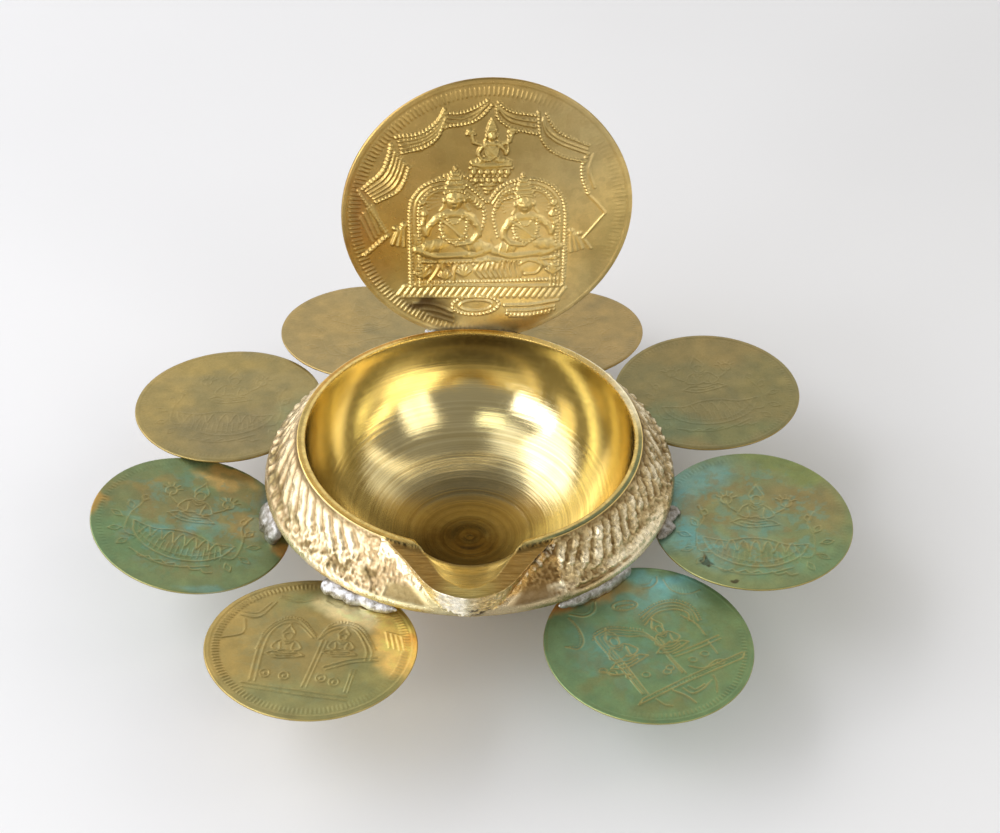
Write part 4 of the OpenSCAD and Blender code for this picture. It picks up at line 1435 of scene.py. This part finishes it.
def small_disc(key, emboss, bend, base, tarnish, stains_and_light, seed, slot="tarnished_brass",
               gold_lines=.5, gold_edge=.6, gain=1, mottle=0):
    """One of the eight discs; gold_lines and gold_edge are how bright it is worn there."""
    ob, x, y, h, side = stamped_disc(
        "stamped_disc_" + key, disc_place(key), DISC_R, DISC_T, cells=200, emboss=emboss,
        warp=gentle_bend(*bend), edge=.13, back=.55)
    colour, tarnish = paint(x, y, base, tarnish, stains_and_light, seed)
    # crusty verdigris: brown islands and blue-green flecks, thickest towards the middle
    inner = mottle*ease(.95, .62, np.hypot(x, y))
    px = x + .1*(fractal(points(x*5, y*5, seed*.7), 3, seed + 30) - .5)
    py = y + .1*(fractal(points(x*5 + 9, y*5, seed*.9), 3, seed + 31) - .5)
    islands = fractal(points(px*6.2 + 3, py*6.2, seed*1.7), 5, seed + 21, .62)
    colour = coat(colour, inner*.6*ease(.48, .62, islands), (140, 122, 78))
    flecks = fractal(points(px*9.7, py*9.7 + 5, seed*2.3), 5, seed + 20, .62)
    flecks = inner*.62*ease(.5, .66, flecks)
    colour = coat(colour, flecks, (104, 150, 134))
    tarnish = tarnish + (.9 - tarnish)*flecks*.6
    blue = ease(1, 1.6, colour[:, 2]/colour[:, 0])[:, None]
    colour = colour*gain*(1 + blue*np.array([-.04, .2, .42]))
    # worn bright on the raised lines and the edge
    line = ease(.05, .14, h)*(side == 0)*(.4 + .6*fractal(points(x*6, y*6, seed), 3, seed + 3))
    for amount, rgb in ((line*gold_lines, (200, 178, 112)),
                        ((side == .5)*gold_edge, (196, 160, 88))):
        colour = coat(colour, amount, rgb)
        tarnish = tarnish*(1 - amount)
    add_tint(ob, colour)
    add_float(ob, "tarnish", np.clip(tarnish, 0, 1))
    finish_piece(ob, "disc_" + key, slot, SHEET)


small_disc("front_left", emboss_front_left, (.35, -.25, .1, 2), (158, 140, 86), .62, [
    (-.8, 0, .3, .75, 0, (172, 146, 84), .45, .8),
    (0, -.75, .75, .28, -8, (142, 142, 94), .8, .8),
    (.15, .66, .42, .2, 0, (132, 140, 92), .8, .75),
    (.55, -.45, .35, .3, 0, (140, 142, 92), .7, .7),
    # bare gold by the solder, with a painted highlight on it
    (.42, .5, .34, .26, -20, (255, 236, 182), .45, .9, .6),
    (.84, .28, .26, .62, 8, (255, 212, 120), .55, .95, .45),
    (.97, .4, .12, .4, 10, (222, 156, 72), .5, .7, .6),
    (-.1, -.05, .5, .35, 0, (150, 134, 84), .6, .5),
], seed=11, gold_lines=.42, gain=1.24, mottle=.14)
small_disc("front_right", emboss_front_right, (-.2, .3, .1, 3), (108, 134, 92), .85, [
    (-.25, .1, .8, .6, 20, (106, 138, 104), .85, .6, .6),
    (.2, .72, .42, .26, 0, (128, 172, 158), .9, .9),
    (-.1, .56, .35, .2, 0, (124, 156, 132), .8, .6),
    (-.42, -.1, .3, .3, 0, (104, 140, 118), .9, .7),
    (.55, .2, .4, .5, 0, (116, 134, 88), .8, .6),
    (-.68, .6, .34, .13, 12, (196, 152, 94), .75, .95),
    (-.86, .43, .17, .13, 20, (212, 160, 94), .7, .95),
    (-.35, .68, .22, .1, 15, (176, 148, 84), .4, .6, .6),
    (.05, -.8, .3, .1, 0, (126, 122, 74), .7, .5),
    (-.5, -.55, .18, .1, 20, (124, 122, 76), .7, .45),
], seed=23, slot="verdigris_brass", gold_lines=.75, gain=1.34, mottle=.35)
small_disc("left", lambda relief: emboss_lotus(relief, -.02, .02, -10), (.3, .2, -.1, 4),
           (116, 134, 92), .8, [
    (-.1, .25, .75, .35, -10, (138, 128, 84), .7, .7),
    (.27, .76, .28, .09, -12, (222, 184, 110), .45, .85),
    (.55, .55, .3, .16, -30, (150, 130, 78), .6, .6),
    (-.95, .14, .11, .17, 0, (178, 142, 76), .4, .9, .4),
    (-.55, .5, .36, .05, 25, (152, 134, 80), .5, .6),
    (.12, -.06, .22, .09, -5, (122, 158, 142), .9, .8, .6),
    (-.4, -.12, .14, .1, 0, (118, 156, 134), .85, .8),
    (.85, .45, .12, .35, 30, (126, 148, 142), .8, .8),
    (.95, -.2, .08, .16, 15, (206, 162, 90), .6, .9, .4),
    (.62, 0, .25, .14, 0, (176, 152, 92), .75, .8),
    (-.75, -.45, .3, .35, 30, (106, 138, 96), .85, .7),
    (.3, -.92, .3, .08, 5, (116, 150, 134), .85, .7),
], seed=37, slot="verdigris_brass", gold_lines=.62, gain=1.24, mottle=.7)
small_disc("right", lambda relief: emboss_lotus(relief, .02, -.11, -6), (-.25, .25, .15, 5),
           (124, 136, 92), .8, [
    (-.55, .55, .5, .3, 30, (120, 154, 142), .85, .85),
    (-.75, .1, .2, .5, 0, (120, 152, 138), .85, .8),
    (-.6, -.35, .35, .25, -10, (114, 152, 136), .85, .85),
    (0, .25, .5, .35, 0, (136, 138, 98), .75, .6),
    (.2, .2, .7, .5, 10, (136, 134, 92), .7, .4),
    (.1, -.1, .3, .2, 0, (118, 148, 126), .85, .45),
    (.55, .3, .4, .2, -10, (146, 130, 86), .6, .7),
    (.75, 0, .2, .3, 0, (146, 130, 84), .6, .55),
    (-.45, .28, .35, .1, 30, (142, 126, 80), .65, .7, .6),
    (.4, -.65, .5, .2, 15, (110, 138, 98), .85, .7),
    (.45, .75, .5, .1, -25, (128, 138, 78), .6, .6, .6),
    (-.6, -.575, .045, .042, 0, (52, 54, 32), .9, .95, .25),
    (-.305, -.835, .042, .03, -15, (56, 56, 34), .9, .95, .25),
], seed=41, slot="verdigris_brass", gold_edge=.8, gain=1.3, mottle=.75)
small_disc("rear_left", rubbed_lotus(6), (.2, -.3, .1, 6), (156, 140, 90), .6, [
    (-.75, .1, .35, .8, 0, (172, 150, 92), .45, .8),
    (.1, -.5, .7, .4, 0, (142, 130, 94), .65, .7),
    (.8, -.3, .25, .4, 0, (140, 142, 102), .7, .8),
    (.2, .3, .5, .4, 0, (152, 138, 92), .6, .5),
    (-.2, .75, .7, .2, 0, (168, 146, 84), .45, .7),
], seed=53, gold_lines=.25, gain=1.08)
small_disc("rear_right", rubbed_lotus(9), (-.2, .3, -.1, 7), (136, 126, 84), .65, [
    (-.5, -.55, .5, .3, -15, (118, 132, 98), .8, .8),
    (.1, .75, .8, .25, 0, (150, 130, 82), .5, .7),
    (.7, .1, .3, .5, 0, (138, 128, 80), .6, .6),
    (.3, -.7, .5, .2, 10, (120, 126, 82), .75, .6),
], seed=67, gold_lines=.25, gain=1.16)
small_disc("back_left", rubbed_lotus(12), (.3, .2, .1, 8), (172, 150, 98), .5, [
    (-.5, .2, .5, .5, 0, (178, 152, 94), .4, .7),
    (.4, -.2, .5, .5, 0, (160, 144, 98), .6, .6),
], seed=71, gold_lines=.2)
small_disc("back_right", rubbed_lotus(15), (.2, .3, -.1, 9), (164, 140, 88), .5, [
    (.5, .2, .5, .5, 0, (170, 144, 88), .45, .7),
    (-.4, -.2, .5, .5, 0, (152, 136, 88), .6, .6),
], seed=73, gold_lines=.2)

PLATE_STAINS_AND_LIGHT = [
    # painted light: brighter towards the right and the bottom, near-white at the bottom middle
    (.72, -.1, .62, .75, 0, (240, 208, 136), .5, .9, .6),
    (-.1, -.78, .95, .46, 0, (255, 240, 184), .75, .95, .6),
    (.05, -.42, .6, .5, 0, (240, 212, 146), .5, .8, .6),
    (.55, .55, .5, .4, 30, (184, 164, 116), .35, .7, .6),
    (-.55, -.55, .4, .35, 0, (206, 182, 116), .2, .6, .6),
    (0, .5, .5, .3, 0, (168, 140, 80), .2, .6, .6),
    (-.45, -.68, .13, .05, -10, (70, 46, 22), .8, .95, .6),
    (-.35, -.78, .1, .06, -40, (98, 72, 34), .6, .8, .6),
    (-.9, -.05, .12, .35, 0, (168, 118, 62), .3, .7, .6),
    (.2, -.85, .3, .1, 0, (226, 178, 82), .2, .7, .6),
    (-.4, -.38, .2, .12, 0, (190, 142, 66), .15, .5, .6),
    (-.62, -.2, .3, .3, 0, (196, 160, 80), .1, .5, .6),
]


def plate_warp(x, y):
    """Slight bends and dents, with the lower right edge bent back."""
    return (.35*(x*x - .3) - .25*(y*y - .3) - 1.1*ease(.55, 1.05, x*.86 - y*.5)**1.5
            + .35*(fractal(points(x*1.4 + 3, y*1.4 + 3, 2), 2, 91) - .5))


def plate():
    ob, x, y, h, side = stamped_disc(
        "stamped_plate", plate_place, radius=27.8, thick=.7, cells=276, emboss=emboss_plate,
        warp=plate_warp, edge=.16, back=.35)
    colour, tarnish = paint(x, y, (188, 156, 92), .14, PLATE_STAINS_AND_LIGHT, seed=83, wander=.12,
                            fine=.22)
    front = side == 0
    colour = coat(colour, ease(.12, .5, h)*front*.6, (228, 200, 126))
    patches = fractal(points(x*9, y*9), 3, 88) > .5
    colour = coat(colour, ease(.12, 0, h)*patches*front*.12, (130, 96, 46))
    add_tint(ob, colour)
    add_float(ob, "tarnish", np.clip(tarnish, 0, 1))
    finish_piece(ob, "back_plate", "stamped_brass", SHEET)


plate()


# ------------------------------------------------------------------ solder
def solder_bead(key, centres, across, up, radii, bright, seed, lump):
    """Lumpy closed bead along centres; across and up are its section's axes.

    Its painted light, a highlight when high and shade when low, is given at 0, 0.8, 0.88 and 1.1 of
    the bead's length.
    """
    n, sides = len(centres), 22
    t = np.linspace(0, 1, n)
    a = np.linspace(0, 2*math.pi, sides, endpoint=False)[:, None]
    cap = np.maximum(np.sqrt(np.maximum(0, 1 - (2*t - 1)**6)), .04)
    wide, tall = (np.broadcast_to(r*cap, n)[:, None, None] for r in radii)
    middle = centres[:, None]
    out = np.cos(a)*across[:, None]*wide + np.sin(a)*up[:, None]*tall
    p = middle + out
    grains = pebble(p[..., 0]*.62 + p[..., 2]*.3, p[..., 1]*.62 + p[..., 2]*.4, seed)
    lumps = 3.4*(fractal(p*.62 + seed, 4, seed, .6) - .5) + .45*(grains - .45)
    p = (middle + out*(1 + lump*lumps[..., None])).reshape(-1, 3)
    verts = np.concatenate([p, centres[:1], centres[-1:]])
    quads, tris = tube_faces(n, sides)
    ob = build_mesh("solder_bead_" + key, verts, quads[:, [0, 3, 2, 1]], tris[:, [0, 2, 1]])
    share = np.arange(len(verts))/(n*sides)
    add_float(ob, "bright", np.interp(share, [0, .8, .88, 1.1], bright))
    finish_piece(ob, "solder_" + key, "solder", SOLDER)


def disc_top(key, x, y):
    """Height of a small disc's top face at plan position x, y."""
    top = DISC_T/2
    o, a, b = disc_place(key)(np.array([[0, 0, top], [1, 0, top], [0, 1, top]]))
    n = np.cross(a - o, b - o)
    return o[2] - (n[0]*(x - o[0]) + n[1]*(y - o[1]))/n[2]


def flange_bead(key, start, end, reach, bright, seed, wide=(1, 1), tall=(1, 1), n=96,
                width=1.15, lump=.17):
    """Bead between the flange and a disc, from azimuth start to end in degrees.

    reach, wide and tall are values at its two ends: radius in mm, and section factors.
    """
    t = np.linspace(0, 1, n)
    azimuth = (start + (end - start)*t)*DEG
    c, s = np.cos(azimuth), np.sin(azimuth)
    r = reach[0] + (reach[1] - reach[0])*t
    flange = FLANGE_Z - .25
    centres = points(r*c, r*s, (disc_top(key, r*c, r*s) + flange)/2 - .1)
    up = points(-.35*c, -.35*s, 1)/math.hypot(.35, 1)
    half_gap = (flange - disc_top(key, reach[0]*c, reach[0]*s))/2
    half = np.maximum(.55, half_gap + .35)
    vary = .62 + .7*noise(points(t*7, seed), seed)
    radii = (width*vary*(wide[0] + (wide[1] - wide[0])*t),
             half*(.74 + .14*vary)*(tall[0] + (tall[1] - tall[0])*t))
    solder_bead(key, centres, points(c, s), up, radii, (bright,)*4, seed, lump)


# each bead's light level is painted light: a painted highlight near 1, painted shade lower down
flange_bead("front_left", -132.5, -109.5, (38.1, 37.5), bright=.93, seed=3,
            wide=(1.5, .42), tall=(1, .55))
flange_bead("front_right", -65.4, -40.2, (37.55, 37.7), bright=.74, seed=5,
            wide=(.5, .95), tall=(.6, 1))
flange_bead("left", -168.2, -155.5, (38.7, 38.3), bright=.75, seed=7, wide=(1.2, .9))
flange_bead("right", -27.6, -13.6, (38.6, 38.7), bright=.3, seed=9, wide=(.9, 1.3))
for key in ("rear_left", "rear_right", "back_left", "back_right"):
    azimuth = DISC_PLACES[key][0]
    flange_bead(key, azimuth - 8, azimuth + 8, (36.6, 36.6), bright=.4, seed=11, n=40,
                width=.95, lump=.16)


def plate_bead():
    """Bead along the rim at the plate's foot, in painted shade but for its left end, which has a
    painted highlight.
    """
    t = np.linspace(0, 1, 80)
    azimuth = (72 + 34*t)*DEG
    c, s = np.cos(azimuth), np.sin(azimuth)
    r = 33 - .5*np.sin(math.pi*t)
    centres = points(r*c, r*s, 27.35 + .9*ease(.82, 1, t))
    up = np.tile([0.0, 0.0, 1.0], (len(t), 1))
    solder_bead("back_plate", centres, points(c, s), up, (1.1, 1.05),
                bright=(.05, .1, .95, .95), seed=13, lump=.22)


plate_bead()


# ------------------------------------------------- stage, light and camera
def floor():
    half, z = 3, -.0002
    me = bpy.data.meshes.new("floor")
    me.from_pydata([(-half, -half, z), (half, -half, z), (half, half, z), (-half, half, z)],
                   [], [(0, 1, 2, 3)])
    ob = bpy.data.objects.new("floor", me)
    bpy.context.scene.collection.objects.link(ob)
    me.materials.append(floor_material())


def area_light(name, location, rotation, wide, high, radiance, colour):
    light = bpy.data.lights.new(name, "AREA")
    light.energy = radiance*math.pi*wide*high
    light.color = colour
    light.shape = "RECTANGLE"
    light.size = wide
    light.size_y = high
    ob = bpy.data.objects.new(name, light)
    ob.location = location
    ob.rotation_euler = rotation
    bpy.context.scene.collection.objects.link(ob)


# windows 1 m from the origin and facing it: azimuth (0 in front, + to the right) and
# elevation in degrees, width and height in m, radiance, colour, panes, gap between panes
WINDOWS = {
    "window_left": (-52, 16.5, .62, .43, 4.6, (.96, .98, 1.08), 2, .05),
    "window_right": (43, 25, .42, .6, 1.9, (1, .98, .94), 2, .08),
    "side_left": (-100, 34, 1.2, .8, 2, (1, 1, 1.08), 1, 0),
    "low_left": (-36, 7, .36, .2, 7, (1, .99, .97), 1, 0),
    "sky_left": (-64, 52, .85, .4, 1.05, (.97, 1, 1.06), 1, 0),
    "upper_front": (-20, 41, .3, .15, 2.5, (.96, 1, .9), 1, 0),
    "side_right": (93, 38, .16, .7, 1.1, (1, .94, .84), 1, 0),
}


def lights():
    for name, (azimuth, elevation, wide, high, radiance, colour, panes, gap) in WINDOWS.items():
        a, e = azimuth*DEG, elevation*DEG
        out = Vector((math.sin(a)*math.cos(e), -math.cos(a)*math.cos(e), math.sin(e)))
        sideways = Vector((math.cos(a), math.sin(a), 0))
        pane = wide/panes
        for k in range(panes):
            area_light("%s_%d" % (name, k), out + sideways*(k - (panes - 1)/2)*pane,
                       (-out).to_track_quat("-Z", "Y").to_euler(), pane*(1 - gap), high,
                       radiance, colour)
    area_light("ceiling_strip", (.28, -.15, .95), (0, 0, .19), wide=1.25, high=.05,
               radiance=1.5, colour=(1, .9, .7))


def studio_world():
    """Surroundings that change with height, differently in front and behind."""
    world = bpy.data.worlds.new("studio")
    bpy.context.scene.world = world
    world.use_nodes = True
    w = Nodes(world.node_tree)
    _, y, z = w.add("SeparateXYZ", {0: w.out("TexCoord")}).outputs

    def sky(*stops):
        """Warm grey by height: (height, brightness)."""
        return w.ramp(w.remap(z, span=(-.1, 1)), [
            ((height + .1)/1.1, (v, v*.985, v*.955)) for height, v in stops])

    front = sky((-.1, 1), (.05, .9), (.2, .34), (.5, .3), (.85, .33), (1, .15))
    behind = sky((-.1, 1.05), (.1, 1), (.4, 1.12), (.66, 1.05), (.8, .25), (1, .12))
    way = w.remap(y, span=(-.15, .45), interpolation_type="SMOOTHSTEP")
    background = w.out("Background", {0: w.mix(front, way, behind), 1: 1})
    w.add("OutputWorld", {0: background})


def camera():
    data = bpy.data.cameras.new("camera")
    data.sensor_width = 36
    data.lens = 72.68
    data.clip_start = .01
    ob = bpy.data.objects.new("camera", data)
    bpy.context.scene.collection.objects.link(ob)
    right = (.9999033, -.0066946, .0121913)
    up = (-.0051331, .6370317, .7708205)
    back = (-.0129266, -.7708086, .6369357)
    axes = Matrix((right, up, back)).transposed().to_4x4()
    ob.matrix_world = Matrix.Translation((.0006911, -.2849393, .2684064)) @ axes
    bpy.context.scene.camera = ob


floor()
lights()
studio_world()
camera()
bpy.context.scene.view_settings.view_transform = "Standard"
bpy.context.scene.view_settings.look = "None"
